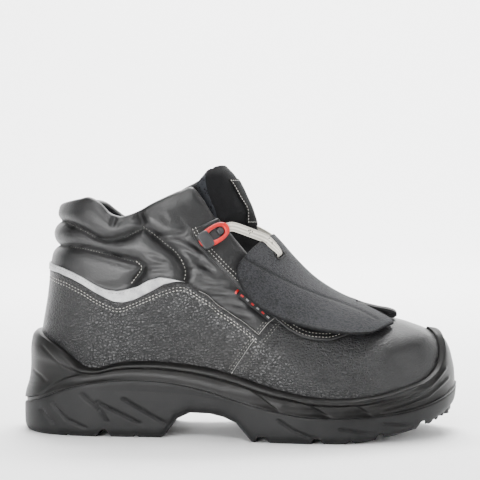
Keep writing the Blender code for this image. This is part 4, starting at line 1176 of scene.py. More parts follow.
@dataclass
class Repeater:
    """Sets one small shape at many places, with Geometry Nodes."""

    length: float
    width: float
    height: float

    def tree(self, name: str, finish: Material) -> bpy.types.NodeTree:
        """Builds the node tree.

        Args:
            name: Its name.
            finish: Material of the small shapes.

        Returns:
            The tree, with the sizes as named inputs.
        """
        tree = bpy.data.node_groups.new(name, "GeometryNodeTree")
        for label in ("Geometry", "Length", "Width", "Height"):
            kind = "NodeSocketGeometry" if label == "Geometry" else "NodeSocketFloat"
            tree.interface.new_socket(label, in_out="INPUT", socket_type=kind)
        tree.interface.new_socket("Geometry", in_out="OUTPUT", socket_type="NodeSocketGeometry")

        def add(kind: str, settings: dict | None = None, **inputs: object) -> bpy.types.Node:
            """Adds a node with its settings; inputs are linked or set by name."""
            node = tree.nodes.new(kind)
            for key, value in (settings or {}).items():
                setattr(node, key, value)
            for key, value in inputs.items():
                if isinstance(value, bpy.types.NodeSocket):
                    tree.links.new(value, node.inputs[key])
                else:
                    node.inputs[key].default_value = value
            return node

        start = add("NodeGroupInput")
        bead = add("GeometryNodeMeshUVSphere", Segments=8, Rings=5, Radius=0.5)
        size = add("ShaderNodeCombineXYZ", X=start.outputs["Length"], Y=start.outputs["Width"],
                   Z=start.outputs["Height"])
        shape = add("GeometryNodeTransform", Geometry=bead.outputs["Mesh"], Scale=size.outputs["Vector"])
        turn = {}
        for attribute, axis, pivot in (("along", "X", "AUTO"), ("out", "Z", "X")):
            read = add("GeometryNodeInputNamedAttribute", {"data_type": "FLOAT_VECTOR"}, Name=attribute)
            align = add("FunctionNodeAlignRotationToVector", {"axis": axis, "pivot_axis": pivot},
                        Vector=read.outputs["Attribute"], **turn)
            turn = {"Rotation": align.outputs["Rotation"]}
        node = add("GeometryNodeInstanceOnPoints", Points=start.outputs["Geometry"],
                   Instance=shape.outputs["Geometry"], **turn)
        node = add("GeometryNodeRealizeInstances", Geometry=node.outputs["Instances"])
        node = add("GeometryNodeSetShadeSmooth", Geometry=node.outputs["Geometry"])
        node = add("GeometryNodeSetMaterial", Geometry=node.outputs["Geometry"], Material=finish)
        add("NodeGroupOutput", Geometry=node.outputs["Geometry"])
        return tree

    def make(self, name: str, rows: Rows,
             finish: Material) -> Object:
        """Makes one mesh from rows of places.

        Args:
            name: The object's name.
            rows: For each row, its points and normals.
            finish: Material.

        Returns:
            The object.
        """
        along = np.concatenate([heading(points) for points, _ in rows])
        out = unit(np.concatenate([normals for _, normals in rows]))
        seeds = bpy.data.meshes.new(name)
        seeds.from_pydata(in_metres(np.concatenate([points for points, _ in rows])), [], [])
        for key, vectors in (("along", along), ("out", out)):
            attribute = seeds.attributes.new(key, "FLOAT_VECTOR", "POINT")
            attribute.data.foreach_set("vector", vectors.astype(np.float32).ravel())
        item = new_object(name, seeds)
        change = item.modifiers.new("repeat", "NODES")
        change.node_group = self.tree(name, finish)
        sizes = {"Length": self.length, "Width": self.width, "Height": self.height}
        for socket in change.node_group.interface.items_tree:
            if socket.in_out == "INPUT" and socket.name in sizes:
                change[socket.identifier] = sizes[socket.name] * MM
        apply_modifiers(item)
        for key in ("along", "out"):
            if key in item.data.attributes:
                item.data.attributes.remove(item.data.attributes[key])
        return item


@dataclass(frozen=True)
class Crease:
    """A fold in the leather: a soft trough with a low ridge on each side."""

    line: Line
    depth: float
    width: float

    def relief(self, points: Array) -> Array:
        """Height that the fold adds at each point."""
        signed, along = nearest(points, self.line)
        away = np.abs(signed) / self.width
        fade = np.clip(np.sin(math.pi * np.clip(along, 0.01, 0.99)), 0.0, 1.0) ** 0.7
        return self.depth * fade * (0.45 * np.exp(-(away - 1.9) ** 2) - np.exp(-away ** 2))


@dataclass
class Upper:
    """Leather wall with its padded collar, overlays, stitches and lining."""

    last: Last
    finishes: Finishes
    column_count: int = 500
    wall_rows: int = 92
    low_rows: tuple[float, ...] = (0.0, 0.4, 0.8)
    seam_depth: float = 4.4
    seam_width: float = 2.7
    puff: float = 0.9
    puff_width: float = 6.5
    wall_steps: int = 25
    lining_rows: int = 26
    step_width: float = 0.7
    creases: tuple[Crease, ...] = (
        Crease(((72.2, 155), (71.4, 150.6), (70.2, 146.4)), 1.5, 1.7),
        Crease(((67, 153.5), (68.2, 149)), 0.5, 1.3),
        Crease(((76.5, 149), (74.5, 145.5)), 0.4, 1.2),
        Crease(((88.4, 158), (91.4, 153.2), (95.2, 149)), 1.5, 1.8),
        Crease(((113, 141), (121.3, 137.8), (129.5, 133), (134.3, 128.2)), 1.5, 1.9),
        Crease(((117.1, 133), (124, 129.6), (131.6, 124.1), (138.5, 118.6)), 1.5, 2),
        Crease(((120.5, 126.5), (126.5, 124.2), (133, 120.2)), 0.8, 1.4),
        Crease(((122.6, 119.9), (129.5, 121), (136.4, 119), (143.5, 115)), 1.2, 1.7),
        Crease(((123.3, 107.6), (132.3, 109.6), (142.6, 107.4), (150, 108.6)), 1, 1.6),
        Crease(((134.3, 102.6), (146.1, 101.2), (158.5, 98.6)), 1.6, 2.1),
        Crease(((141.5, 95.9), (151.6, 95), (164, 91.8)), 1.4, 1.9),
        Crease(((151.5, 88.6), (159.8, 87.4), (170, 84.6)), 1.1, 1.8),
        Crease(((94, 128), (101.5, 126.4), (109.5, 123.2)), 0.7, 1.5),
        Crease(((93.5, 120.6), (100.5, 119.4), (108.5, 119.8)), 0.8, 1.5),
        Crease(((96, 113.8), (103, 115), (112, 113.6)), 0.5, 1.4),
        Crease(((62, 133.6), (70, 132.2), (78, 133.4)), 0.5, 1.9),
        Crease(((99, 158.6), (106, 154), (110, 148.5)), 0.35, 2.4),
    )
    trim_end: float = 7.45
    trim_thick: float = 0.8
    stay_side: float = 7.75
    stay_columns: int = 440
    stay_seat: float = LEATHER_STEP + GAP + 0.3
    stay_thick: float = 1.3

    def relief(self, points: Array) -> Array:
        """Steps, seams and folds of the wall, outward from its sheet."""
        away = self.seam_distance(points)
        pads = self.puff * (1.0 - np.exp(-(away / self.puff_width) ** 2))
        pads -= self.seam_depth * np.exp(-(away / self.seam_width) ** 1.2)
        pads *= ease((points[:, 2] - 104.0) / 6.0) * ease((136.0 - points[:, 0]) / 14.0)
        pads -= 2.2 * np.exp(-(np.abs(distance(points, SEAM_UNDER_PAD)) / 1.9) ** 1.5)
        pads += sum(crease.relief(points) for crease in self.creases)
        quarter, vamp, stay = self.overlays(points)
        fold = 0.55 * np.exp(-((distance(points, PANEL_EDGE) + 1.5) / 1.0) ** 2)
        panel = LEATHER_STEP * np.maximum(np.maximum(quarter, vamp), stay) + fold * quarter * (1.0 - stay)
        return pads * (1.0 - quarter) * (1.0 - stay) + panel

    def seam_distance(self, points: Array) -> Array:
        """Side-view distance to the nearest seam of the padding."""
        lines = (SEAM_TOP_ROLL, SEAM_LOW_ROLL, SEAM_FRONT_PAD)
        return np.min([np.abs(distance(points, line)) for line in lines], axis=0)

    def overlays(self, points: Array) -> tuple[Array, Array, Array]:
        """Shares of quarter, vamp and eyestay at each point."""
        quarter = ease(-distance(points, TRIM_TOP[:-1] + QUARTER_EDGE) / self.step_width + 0.5)
        vamp = ease(distance(points, VAMP_SEAM) / self.step_width + 0.5)
        stay = ease(distance(points, EYESTAY_EDGE) / self.step_width + 0.5)
        return quarter, vamp, stay

    def wall(self) -> None:
        """Builds the hollow wall with its rolled collar and lining."""
        last = self.last
        stations = last.columns(self.column_count)
        count = len(stations)
        steps = self.wall_steps
        path = last.sheet(np.repeat(stations, steps), np.tile(np.linspace(0, 1, steps), count))
        length = np.linalg.norm(np.diff(path.reshape(count, steps, 3), axis=1), axis=2).sum(axis=1)
        thick_top = WALL + (COLLAR_PAD - WALL) * last.collar_share(stations)
        radius = thick_top / 2
        shoulder = 1.0 - radius / length
        lip = Columns(last, stations).level(last.by_station(LIP, stations)) - 0.02
        rings = [lip * share for share in self.low_rows]
        rings += [lip + (shoulder - lip) * share for share in np.linspace(0.0, 1.0, self.wall_rows)]
        plain = len(rings)
        lifts = [np.zeros(count)] * plain
        for angle in np.radians(np.arange(1, 8) * 22.5):
            rings.append(1.0 - radius * (1.0 - math.sin(angle)) / length)
            lifts.append(-radius * (1.0 - math.cos(angle)))
        outer = len(rings)
        for share in np.linspace(1.0, 0.0, self.lining_rows):
            level = shoulder * share
            rings.append(level)
            lifts.append(-(WALL + (thick_top - WALL) * ease((level - 0.45) / 0.35)))
        all_stations = np.tile(stations, len(rings))
        all_levels = np.concatenate(rings)
        base = last.sheet(all_stations, all_levels)
        normal = last.outward(all_stations, all_levels)
        relief = self.relief(base)
        row = np.repeat(np.arange(len(rings)), count)
        fade = np.clip(1.0 - (row - plain + 1) / 5.0, 0.0, 1.0)
        pad = np.tile(last.collar_share(stations), len(rings))
        keep = np.where(row < plain, 1.0, np.where(row < outer, fade * pad, 0.0))
        edge = (1.0 - all_levels) * np.tile(length, len(rings))
        lift = (relief - 2.6 * pad * np.exp(-(edge / 7.0) ** 2)) * keep + np.concatenate(lifts)
        quarter, vamp, stay = self.overlays(base)
        toe = ease((base[:, 0] - 238.0) / 30.0)
        raised = np.maximum(quarter, vamp) * (1.0 - stay)
        grain = raised * (1.0 - 0.85 * toe)
        # A lighter patch on the lower quarter and vamp, at the toe and a little on the padding: part wear,
        # part painted highlight where the key light falls.
        rub_and_highlight = np.exp(-((base[:, 0] - 150.0) / 34.0) ** 2 - ((base[:, 2] - 56.0) / 15.0) ** 2)
        worn = 0.35 * rub_and_highlight * raised + 0.12 * toe + 0.1 * (1.0 - raised)
        # seam marks the padding's seam troughs and narrow bands just off the vamp, panel and eyestay edges;
        # the leather paints these dark as shade.
        seam = np.exp(-(self.seam_distance(base) / 1.25) ** 2) * (1.0 - quarter)
        for line, depth, shift, width, where in (
                (VAMP_SEAM, 0.7, 0.0, 0.8, base[:, 2] < 84), (PANEL_EDGE, 0.8, 0.6, 0.8, 1.0 - stay),
                (EYESTAY_EDGE, 0.8, -0.5, 0.9, 1.0)):
            shade = depth * np.exp(-((distance(base, line) - shift) / width) ** 2)
            seam = np.maximum(seam, shade * where)
        seam *= row < outer
        split = (outer - 1) * count
        piece = Piece("boot_upper")
        faces = strip_faces(len(rings), count, loop=True)
        here = np.arange(count)
        there, inside = (here + 1) % count, (len(rings) - 1) * count
        close = np.stack((here + inside, there + inside, there, here), axis=-1)
        piece.add(base + normal * lift[:, None], np.concatenate((faces, close)), grain=grain, worn=worn,
                  seam=seam)
        piece.finish_of_face = [0] * split + [1] * (len(piece.faces) - split)
        item = piece.make([self.finishes.leather, self.finishes.lining], 80.0)
        settle(item, "leather", "upper")

    def band(self, name: str, stations: Array, low: Array, high: Array, seat: float,
             thick: float, rows: int, finish: Material, **values: float) -> Object:
        """Builds a strip with rounded edges between two levels of the sheet.

        Args:
            name: The object's name.
            stations: Its columns.
            low: Lower level of each column.
            high: Upper level of each column.
            seat: Height of its underside above the sheet.
            thick: Its thickness.
            rows: Number of rows across.
            finish: Material.
            values: Attribute values, the same all over.

        Returns:
            The object.
        """
        width = np.nanmean((high - low)) * SIDE_LENGTH
        edge = thick * 0.6 / width
        near = edge * 0.35
        shares = np.concatenate(([0.0, near], np.linspace(edge, 1.0 - edge, rows), [1 - near, 1.0]))
        rounding = np.concatenate(([0.35, 0.8], np.ones(rows), [0.8, 0.35]))
        count = len(stations)
        s = np.tile(stations, len(shares))
        level = np.concatenate([low + (high - low) * share for share in shares])
        top = self.last.lifted(s, level, seat + thick * np.repeat(rounding, count))
        under = self.last.lifted(s, level, seat)
        piece = Piece(name)
        piece.add(np.concatenate((top, under)), slab_faces(len(shares), count), **values)
        return piece.make([finish])

    def trim(self) -> None:
        """Builds the reflective strip round the heel."""
        dense = np.linspace(0.0, self.trim_end, 130)
        low, high = (self.last.crossing(dense, line) for line in (TRIM_LOW, TRIM_TOP))
        found = ~np.isnan(low + high)
        dense, low, high = dense[found], low[found], high[found]
        taper = 0.93 * ease((dense - 6.45) / (dense[-1] - 6.45)) ** 1.5
        low = low + (high - low) * taper
        stations = np.concatenate((-dense[:0:-1], dense))
        low, high = (np.concatenate((values[:0:-1], values)) for values in (low, high))
        item = self.band("reflective_strip", stations, low, high, LEATHER_STEP + GAP, self.trim_thick, 6,
                         self.finishes.reflective)
        settle(item, "reflective", "reflective_trim")

    def eyestay(self) -> None:
        """Builds the overlay round the throat."""
        inside = self.last.columns(self.stay_columns, 0.9)
        inside = inside[(inside > self.stay_side) & (inside < self.last.turn - self.stay_side)]
        stations = np.concatenate(([self.stay_side], inside, [self.last.turn - self.stay_side]))
        low = self.last.crossing(stations, EYESTAY_EDGE, 0.2)
        high = self.last.crossing(stations, EYESTAY_TOP, 0.4)
        top = 1.0 - 1.0 / SIDE_LENGTH
        high = np.where(np.isnan(high), top, np.minimum(high, top))
        item = self.band("eyestay_leather", stations, low, high, self.stay_seat, self.stay_thick, 14,
                         self.finishes.leather, grain=0.12, worn=0.0)
        settle(item, "leather", "eyestay")

    def row(self, line: Array | Line, lift: float, pitch: float, shift: float = 0.0,
            around: float = 0.0) -> Rows:
        """Places a row of stitches on both sides of the shoe.

        Args:
            line: The row as x, z on the side view.
            lift: Height above the sheet.
            pitch: Distance between stitches.
            shift: How far the row is moved down.
            around: Last station of a row that goes round the heel, else 0.

        Returns:
            Points and normals of each row.
        """
        moved = np.asarray(line, float) - (0.0, shift)
        rows = []
        if around:
            dense = np.linspace(0.0, around, 90)
            levels = self.last.crossing(dense, moved)
            good = ~np.isnan(levels)
            dense, levels = dense[good], levels[good]
            stations = np.concatenate((-dense[:0:-1], dense))
            levels = np.concatenate((levels[:0:-1], levels))
            rows.append(self.spaced(stations, levels, lift, pitch))
        else:
            for side in Side:
                stations, levels = self.last.locate(smooth(moved, 12 * len(moved)), side)
                rows.append(self.spaced(stations, levels, lift, pitch))
        return rows

    def spaced(self, stations: Array, levels: Array, lift: float,
               pitch: float) -> Pair:
        """Even points and normals along a path on the sheet."""
        reach = reach_of(self.last.sheet(stations, levels))
        where = np.linspace(0.0, reach[-1], max(3, int(reach[-1] / pitch)))
        s, level = np.interp(where, reach, stations), np.interp(where, reach, levels)
        return self.last.lifted(s, level, lift), self.last.outward(s, level)

    def stitches(self) -> None:
        """Sews the panels with rows of thread."""
        step, sunk = LEATHER_STEP, 0.8 - self.seam_depth
        light, dim = self.finishes.thread, self.finishes.dim_thread

        def moved(line: Line, x: float, z: float) -> Array:
            """A line moved on the side view."""
            return np.asarray(line, float) + (x, z)

        edge = np.asarray(EYESTAY_EDGE[1:-2], float)
        aside = heading(edge) @ ((0.0, 1.0), (-1.0, 0.0))
        # name, size, finish, slot, then line, lift, pitch, shift and last station of each row
        table = (
            ("stitches_quarter", (1.6, 0.5, 0.42), light, "lace",
             [(line, step + 0.12, 2.5, shift, around) for shift in (0.0, 2.1)
              for line, around in ((QUARTER_STITCH[:17], 7.7), (QUARTER_STITCH[14:], 0.0))]),
            ("stitches_vamp", (1.4, 0.45, 0.36), dim, "lace",
             [(moved(VAMP_SEAM[2:7], -x, 0.15 * x), step + 0.12, 2.3) for x in (1.5, 3.4)]
             + [(moved(VAMP_SEAM[1:7], x, -1.0), step + 0.12, 2.3) for x in (5.2, 7.4)]),
            ("stitches_eyestay", (1.35, 0.42, 0.36), light, "lace",
             [(edge + aside * x, self.stay_seat + self.stay_thick + 0.1, 2.3) for x in (1.9, 4.0)]),
            ("stitches_collar", (1.6, 0.5, 0.42), light, "lace",
             [(SEAM_FRONT_PAD[6:], sunk + 0.1, 2.2), (moved(SEAM_LOW_ROLL[5:], -1.3, 0.2), -1.5, 2.0)]),
            ("stitches_strip", (1.5, 0.45, 0.3), dim, "lace",
             [(TRIM_STITCH, step + GAP + self.trim_thick + 0.05, 2.6, 0.0, 6.6)]),
            ("stitches_padding", (1.4, 0.6, 0.5), dim, "lace",
             [(SEAM_TOP_ROLL[1:], sunk, 2.0, 1.0), (SEAM_LOW_ROLL[1:6], sunk, 2.0, 1.0),
              (SEAM_FRONT_PAD[2:7], sunk, 2.1)]),
            # vamp_holes: dark beads in the hole-shade finish, painted shade where the perforations are.
            ("vamp_holes", (0.95, 0.95, 0.24), self.finishes.hole, "leather",
             [(moved(VAMP_SEAM[3:7], x, -1.5), step + 0.02, 2.5, 0.5 * x % 1.3) for x in (9.6, 12.2, 14.8)]),
        )
        for name, size, finish, slot, lines in table:
            rows = [row for line in lines for row in self.row(*line)]
            settle(Repeater(*size).make(name, rows, finish), slot)

    def edges(self) -> None:
        """Adds the light cut edges of the vamp, and the thin light line along the quarter's edge that is a
        painted highlight on its folded rim.
        """
        piece = Piece("cut_edges_and_rim_highlight")
        # The quarter's line is painted highlight on the rim's crest; the vamp's is its real cut edge.
        for line, width in ((VAMP_SEAM[1:], 0.35), (QUARTER_EDGE[2:], 0.3)):
            for side in Side:
                stations, levels = self.last.locate(smooth(line, 60), side)
                points, normals = self.spaced(stations, levels, LEATHER_STEP - 0.1, 1.2)
                ribbon(piece, points, np.cross(heading(points), normals), width, 0.5, 6, 1, 2.0)
        settle(piece.make([self.finishes.cut]), "leather")

    def build(self) -> None:
        """Builds the upper and everything sewn on it."""
        self.wall()
        self.trim()
        self.eyestay()
        self.stitches()
        self.edges()


@dataclass
class Sole:
    """Midsole cup, tread unit and foot bed."""

    last: Last
    finishes: Finishes
    column_count: int = 520
    tread_rows: int = 64
    bed_columns: int = 300
    bed_rows: int = 26
    corner_steps: int = 4000
    outsole_rim: float = 2.8
    plate: float = 9.0
    floor: float = 4.0
    # share of the wall's height, then outward depth at the heel's back, at the sides and at the toe
    profile: Table = (
        (0, 11.9, 5.5, 6.2), (0.03, 12, 5.6, 6.3), (0.07, 11.9, 5.2, 6.2), (0.14, 11.3, 4.5, 5.9),
        (0.3, 8.8, 3.7, 5.6), (0.48, 7.3, 3.5, 5.5), (0.62, 7, 4, 5.6), (0.71, 6.9, 5.6, 5.5),
        (0.78, 6.8, 5.9, 5.3), (0.84, 6.5, 5.7, 4.9), (0.93, 5, 4.2, 4.2), (1, 2.2, 2, 2.6))
    heel_ridge: Line = (
        (6, 69.5), (15, 69), (21.5, 67.5), (28.8, 63.2), (36.6, 56.6), (43.7, 49.8), (49, 45.4))
    heel_fold: Line = ((50, 45.2), (45, 43.1), (36.5, 40.6), (29, 36.4), (21.5, 31), (14, 26), (6, 22.5))
    heel_groove: Line = ((20.3, 62), (28.1, 55.2), (36.5, 48.2))
    heel_cut: Line = ((12, 44), (18, 41.4), (22.5, 37.6))
    blades: tuple[Line, ...] = (
        ((147, 45), (158, 41.2), (168.6, 35.2), (179, 28), (190.4, 20.7)),
        ((188, 34.4), (197, 31), (206, 27.4), (214, 23.4), (222.9, 18.8)),
        ((231, 29.4), (239, 26.8), (246, 22.6), (251, 19.4)))
    toe_ribs: tuple[Line, ...] = (
        ((236, 27.2), (255.5, 31), (276.5, 36.2), (290.6, 43.8), (298, 53)),
        ((244, 24.6), (257.7, 26), (276, 30.5), (291, 37), (302, 47)),
        ((258, 21.8), (274, 25.2), (289, 30.4), (304, 40.8)))
    # x from and to at the bottom, x from and to at the top, depth: notches across the tread
    notches: Table = (
        (59.2, 69, 61.8, 66, 5.3), (36, 39.5, 37.3, 38.3, 1.2), (84.8, 88.8, 86.2, 87.4, 1.6),
        (170.5, 180, 172.4, 178, 4.3), (208.8, 217.4, 210.8, 215.4, 3.8), (233, 239, 235.2, 236.8, 2.6),
        (252, 259.4, 254.6, 257.4, 4), (281, 288.6, 283.4, 287, 4), (290.6, 294.2, 292.4, 293, 1.8),
        (294.8, 298.4, 296.6, 297.2, 1.8), (299, 302.4, 300.8, 301.4, 1.8),
        (303, 306.6, 304.8, 305.4, 1.8))
    # x from and to, y from and to, depth: grooves along the tread and between its lugs
    channels: Table = (
        (20, 56, 12.8, 17.2, 3.4), (72, 98, 12.8, 17.2, 3.4), (184, 204, 17.5, 22.5, 3.4),
        (221, 248, 16.5, 21.5, 3.4), (28, 52, -1.6, 1.6, 2.2), (74, 98, -1.6, 1.6, 2.2),
        (182, 206, -2, 2, 2.2), (219, 231, -2, 2, 2.2), (261, 279, -14.5, -11.5, 2),
        (261, 279, 11.5, 14.5, 2))
    scores: tuple[Line, ...] = (
        ((19, 17.7), (28.2, 7.9)), ((27.3, 23), (37.2, 12.6), (51.3, 6.5)),
        ((49.2, 30.1), (61.2, 19.8), (66.8, 12.2)), ((60, 24.8), (89.4, 10.6)),
        ((78.4, 27.3), (107.7, 10.4)), ((187.3, 16.2), (197.5, 9.6), (212.4, 3.7)),
        ((228.5, 11.1), (249.5, 7.3)), ((258, 14), (276, 12.2)))

    def seats(self, columns: Columns) -> tuple[Array, Array, Array]:
        """Height of the moulded line, depth of the flange and height of the well's floor."""
        line, flange = (self.last.by_station(table, columns.stations) for table in (SOLE_LINE, FLANGE))
        well = np.minimum(tread_at(columns.bed[:, 0]) + self.plate, line - 3.0)
        return line, flange, np.minimum(well, columns.bed[:, 2] - self.floor)

    def side_relief(self, points: Array, share: float) -> Array:
        """Ridges, grooves and blades of the midsole's side.

        Args:
            points: Points of one ring.
            share: The ring's share of the wall's height.

        Returns:
            Height added at each point.
        """
        x = points[:, 0]
        mid = math.sin(math.pi * min(max(share / 0.78, 0.0), 1.0)) ** 0.5
        lift = 1.2 * np.exp(-(distance(points, self.heel_ridge) / 3.4) ** 2)
        panel = ease(-distance(points, self.heel_fold) / 1.2 + 0.5) * ease((49.0 - x) / 5.0)
        lift += 1.5 * panel * (share > 0.05)
        for line, depth in ((self.heel_groove, 0.8), (self.heel_cut, 0.7)):
            lift -= depth * np.exp(-(distance(points, line) / 0.8) ** 2)
        for line in self.blades:
            away = distance(points, line)
            scoop = ease(-away / 0.9 + 0.5) * np.exp(-np.maximum(-away, 0.0) / 5.0)
            lift -= 2.2 * mid * scoop * (share < 0.76) * ease((x - line[0][0]) / 6.0)
        toe = ease((x - 244.0) / 14.0)
        for line in self.toe_ribs:
            lift += 0.9 * toe * (np.exp(-(distance(points, line) / 1.0) ** 2) - 0.4) * (0.05 < share < 0.9)
        if share > 0.84:
            lift += 0.8 * toe * math.exp(-((share - 0.92) / 0.05) ** 2)
        return lift

    def midsole(self) -> None:
        """Builds the cup that takes the upper's lower edge."""
        last = self.last
        stations = last.columns(self.column_count, 0.1)
        count = len(stations)
        columns = Columns(last, stations)
        line, flange, well = self.seats(columns)
        lip = last.by_station(LIP, stations)
        side = np.minimum(stations, last.turn - stations)
        heel = 1.0 - ease(side / 3.2)
        toe = ease((side - 13.0) / 3.0)
        table = np.asarray(self.profile)
        rings = [columns.ring(height + GAP, flange - self.outsole_rim - GAP) for height in (well, line)]
        for share in np.concatenate((np.linspace(0.0, 0.9, 58), (0.92, 0.94, 0.96, 0.975, 0.99, 1.0))):
            back, flank, front = hermite(table[:, 0], table[:, 1:], np.array([share]))[0]
            depth = flank + (back - flank) * heel + (front - flank) * toe
            heights = line + GAP + (lip - line - GAP) * share
            place = columns.ring(heights, depth)
            place[:, 2] = heights
            rings.append(columns.ring(heights, depth + self.side_relief(place, share)))
        lip_level = columns.level(lip)
        for share in (1.0, 0.66, 0.33):
            rings.append(last.lifted(stations, lip_level * share, GAP))
        inner = last.lifted(stations, np.zeros(count), GAP)
        inner[:, 2] = columns.bed[:, 2] - GAP
        rings.append(inner)
        piece = Piece("midsole_cup")
        faces = list(strip_faces(len(rings), count, loop=True)) + self.ladder(0, count, True)
        piece.add(np.concatenate(rings), faces + self.ladder((len(rings) - 1) * count, count, False))
        settle(piece.make([self.finishes.midsole], 60.0), "midsole", "midsole")

    @staticmethod
    def ladder(base: int, count: int, flip: bool) -> list[tuple[int, ...]]:
        """Caps a ring with cross strips.

        Args:
            base: Index of the ring's first point.
            count: Points in the ring.
            flip: True to turn the faces over.

        Returns:
            The faces.
        """
        half = count // 2
        faces = [(base, base + 1, base + count - 1)]
        for i in range(1, half - 1):
            faces.append((base + i, base + i + 1, base + count - i - 1, base + count - i))
        faces.append((base + half - 1, base + half, base + half + 1))
        return [face[::-1] for face in faces] if flip else faces

    @staticmethod
    def bridge(ring: Array, across: Array) -> Array:
        """Straight rows of points across a ring, from its lateral to its medial side."""
        half = len(ring) // 2
        lateral, medial = ring[1:half], ring[:half:-1]
        return lateral[:, None] + (medial - lateral)[:, None] * across[None, :, None]

    @staticmethod
    def close(piece: Piece, count: int, sheet: Array, finish: Material, flip: bool,
              smooth_angle: float) -> Object:
        """Closes a piece's last ring with a sheet across it, and makes the piece.

        Args:
            piece: The rings so far.
            count: Points in a ring.
            sheet: The sheet's points, as rows by points across.
            finish: Material.
            flip: True to turn the faces over.
            smooth_angle: Edges sharper than this many degrees stay sharp.

        Returns:
            The object.
        """
        inner = piece.size
        rows, wide = sheet.shape[:2]
        piece.add(sheet.reshape(-1, 3), strip_faces(rows, wide, flip=flip))
        first = inner - count
        for start, base, turn in ((0, inner, False), (count // 2, inner + (rows - 1) * wide, True)):
            fan = [(first + start, base + k, base + k + 1) for k in range(wide - 1)]
            piece.faces += [face[::-1] for face in fan] if turn != flip else fan
            piece.finish_of_face += [0] * len(fan)
        item = piece.make([finish], smooth_angle)
        weld(item)
        return item

    def notch(self, x: Array) -> Array:
        """Depth of the cross notches at each x."""
        deep = np.zeros(len(x))
        for start, end, top_start, top_end, depth in self.notches:
            deep = np.maximum(deep, np.interp(x, (start, top_start, top_end, end), (0.0, depth, depth, 0.0)))
        return deep

    def channel(self, points: Array) -> Array:
        """Depth of the lengthwise grooves at each point of the tread."""
        deep = np.zeros(len(points))
        for start, end, near, far, depth in self.channels:
            for sign in (-1.0, 1.0):
                y = points[:, 1] * sign
                inside = ease(np.minimum(points[:, 0] - start, end - points[:, 0]) + 0.5)
                inside *= ease(np.minimum(y - near, far - y) / 0.8 + 0.5)
                deep = np.maximum(deep, depth * inside)
        return deep

    def tread_columns(self) -> Array:
        """Stations of the tread's columns, with one at each notch's corner."""
        stations = self.last.columns(self.column_count, 0.0)
        side = stations[:len(stations) // 2 + 1]
        dense = np.linspace(0.0, self.last.end, self.corner_steps)
        x = self.last.sheet(dense, np.zeros(len(dense)))[:, 0] + 2.0
        corners = np.array([value for row in self.notches for value in row[:4]])
        extra = np.interp(corners[corners < x.max()], x, dense)
        side = np.unique(np.concatenate((side, extra)))
        side = side[np.concatenate(([True], np.diff(side) > 0.004))]
        side[-1] = self.last.end
        return np.concatenate((side, self.last.turn - side[-2:0:-1]))

    def outsole(self) -> None:
        """Builds the tread unit with its notches, lugs and side scores."""
        last = self.last
        stations = self.tread_columns()
        count = len(stations)
        columns = Columns(last, stations)
        line, flange, well = self.seats(columns)
        rings = [columns.ring(height, flange - self.outsole_rim) for height in (well, line)]
        edge = columns.ring(tread_at(columns.bed[:, 0]), flange)
        tread = tread_at(edge[:, 0])
        low = np.minimum(tread + self.notch(edge[:, 0]), line - 2.0)
        shares = 1.0 - np.concatenate(([0.0, 0.02], np.linspace(0.05, 0.88, 52), (0.9, 0.94, 0.97, 1.0)))
        for share in shares:
            heights = low + (line - low) * share
            above = heights - np.minimum(tread, line - 2.0)
            inset = 4.0 * np.exp(-np.maximum(above, 0.0) / 1.9)
            place = np.column_stack((edge[:, 0], np.zeros(count), heights))
            score = sum(np.exp(-(distance(place, route) / 0.85) ** 2) for route in self.scores)
            rim = 0.5 * math.exp(-((1.0 - share) / 0.03) ** 2)
            rings.append(columns.ring(heights, flange - inset - 1.1 * np.minimum(score, 1.0) - rim))
        across = np.linspace(0.0, 1.0, self.tread_rows)
        sheet = self.bridge(rings[-1], across)
        flat = sheet.reshape(-1, 3)
        rise = tread_at(flat[:, 0]) + self.notch(flat[:, 0]) + self.channel(flat)
        end = np.tile((across < 0.0001) | (across > 0.9999), len(sheet))
        roof = np.repeat(well[1:count // 2], len(across)) - 1.0
        flat[:, 2] = np.where(end, flat[:, 2], np.minimum(rise, roof))
        piece = Piece("outsole_tread")
        faces = list(strip_faces(len(rings), count, loop=True, flip=True)) + self.ladder(0, count, False)
        piece.add(np.concatenate(rings), faces)
        item = self.close(piece, count, flat.reshape(sheet.shape), self.finishes.outsole, True, 40.0)
        settle(item, "outsole", "outsole")

    def insole(self) -> None:
        """Builds the foot bed with a rounded top edge and a shallow heel cup."""
        last = self.last
        stations = last.columns(self.bed_columns, 0.0)
        count = len(stations)
        bed = last.sheet(stations, np.zeros(count))
        base = last.lifted(stations, np.zeros(count), -(WALL + 0.6))
        centre = np.column_stack((bed[:, 0], last.by_station(AXIS, stations), bed[:, 2]))
        piece = Piece("foot_bed")
        rings = []
        for inset, height in ((0.0, GAP), (0.0, 2.4), (0.5, 3.3), (1.4, 3.7)):
            ring = base + unit(centre - base) * inset
            ring[:, 2] = bed[:, 2] + height
            rings.append(ring)
        faces = list(strip_faces(len(rings), count, loop=True)) + self.ladder(0, count, True)
        piece.add(np.concatenate(rings), faces)
        across = np.linspace(0.0, 1.0, self.bed_rows)
        sheet = self.bridge(rings[-1], across)
        sheet[:, :, 2] -= 0.9 * np.sin(across * math.pi) ** 0.6
        item = self.close(piece, count, sheet, self.finishes.insole, False, 50.0)
        settle(item, "insole_cloth", "insole")

    def build(self) -> None:
        """Builds the three pieces."""
        self.midsole()
        self.outsole()
        self.insole()


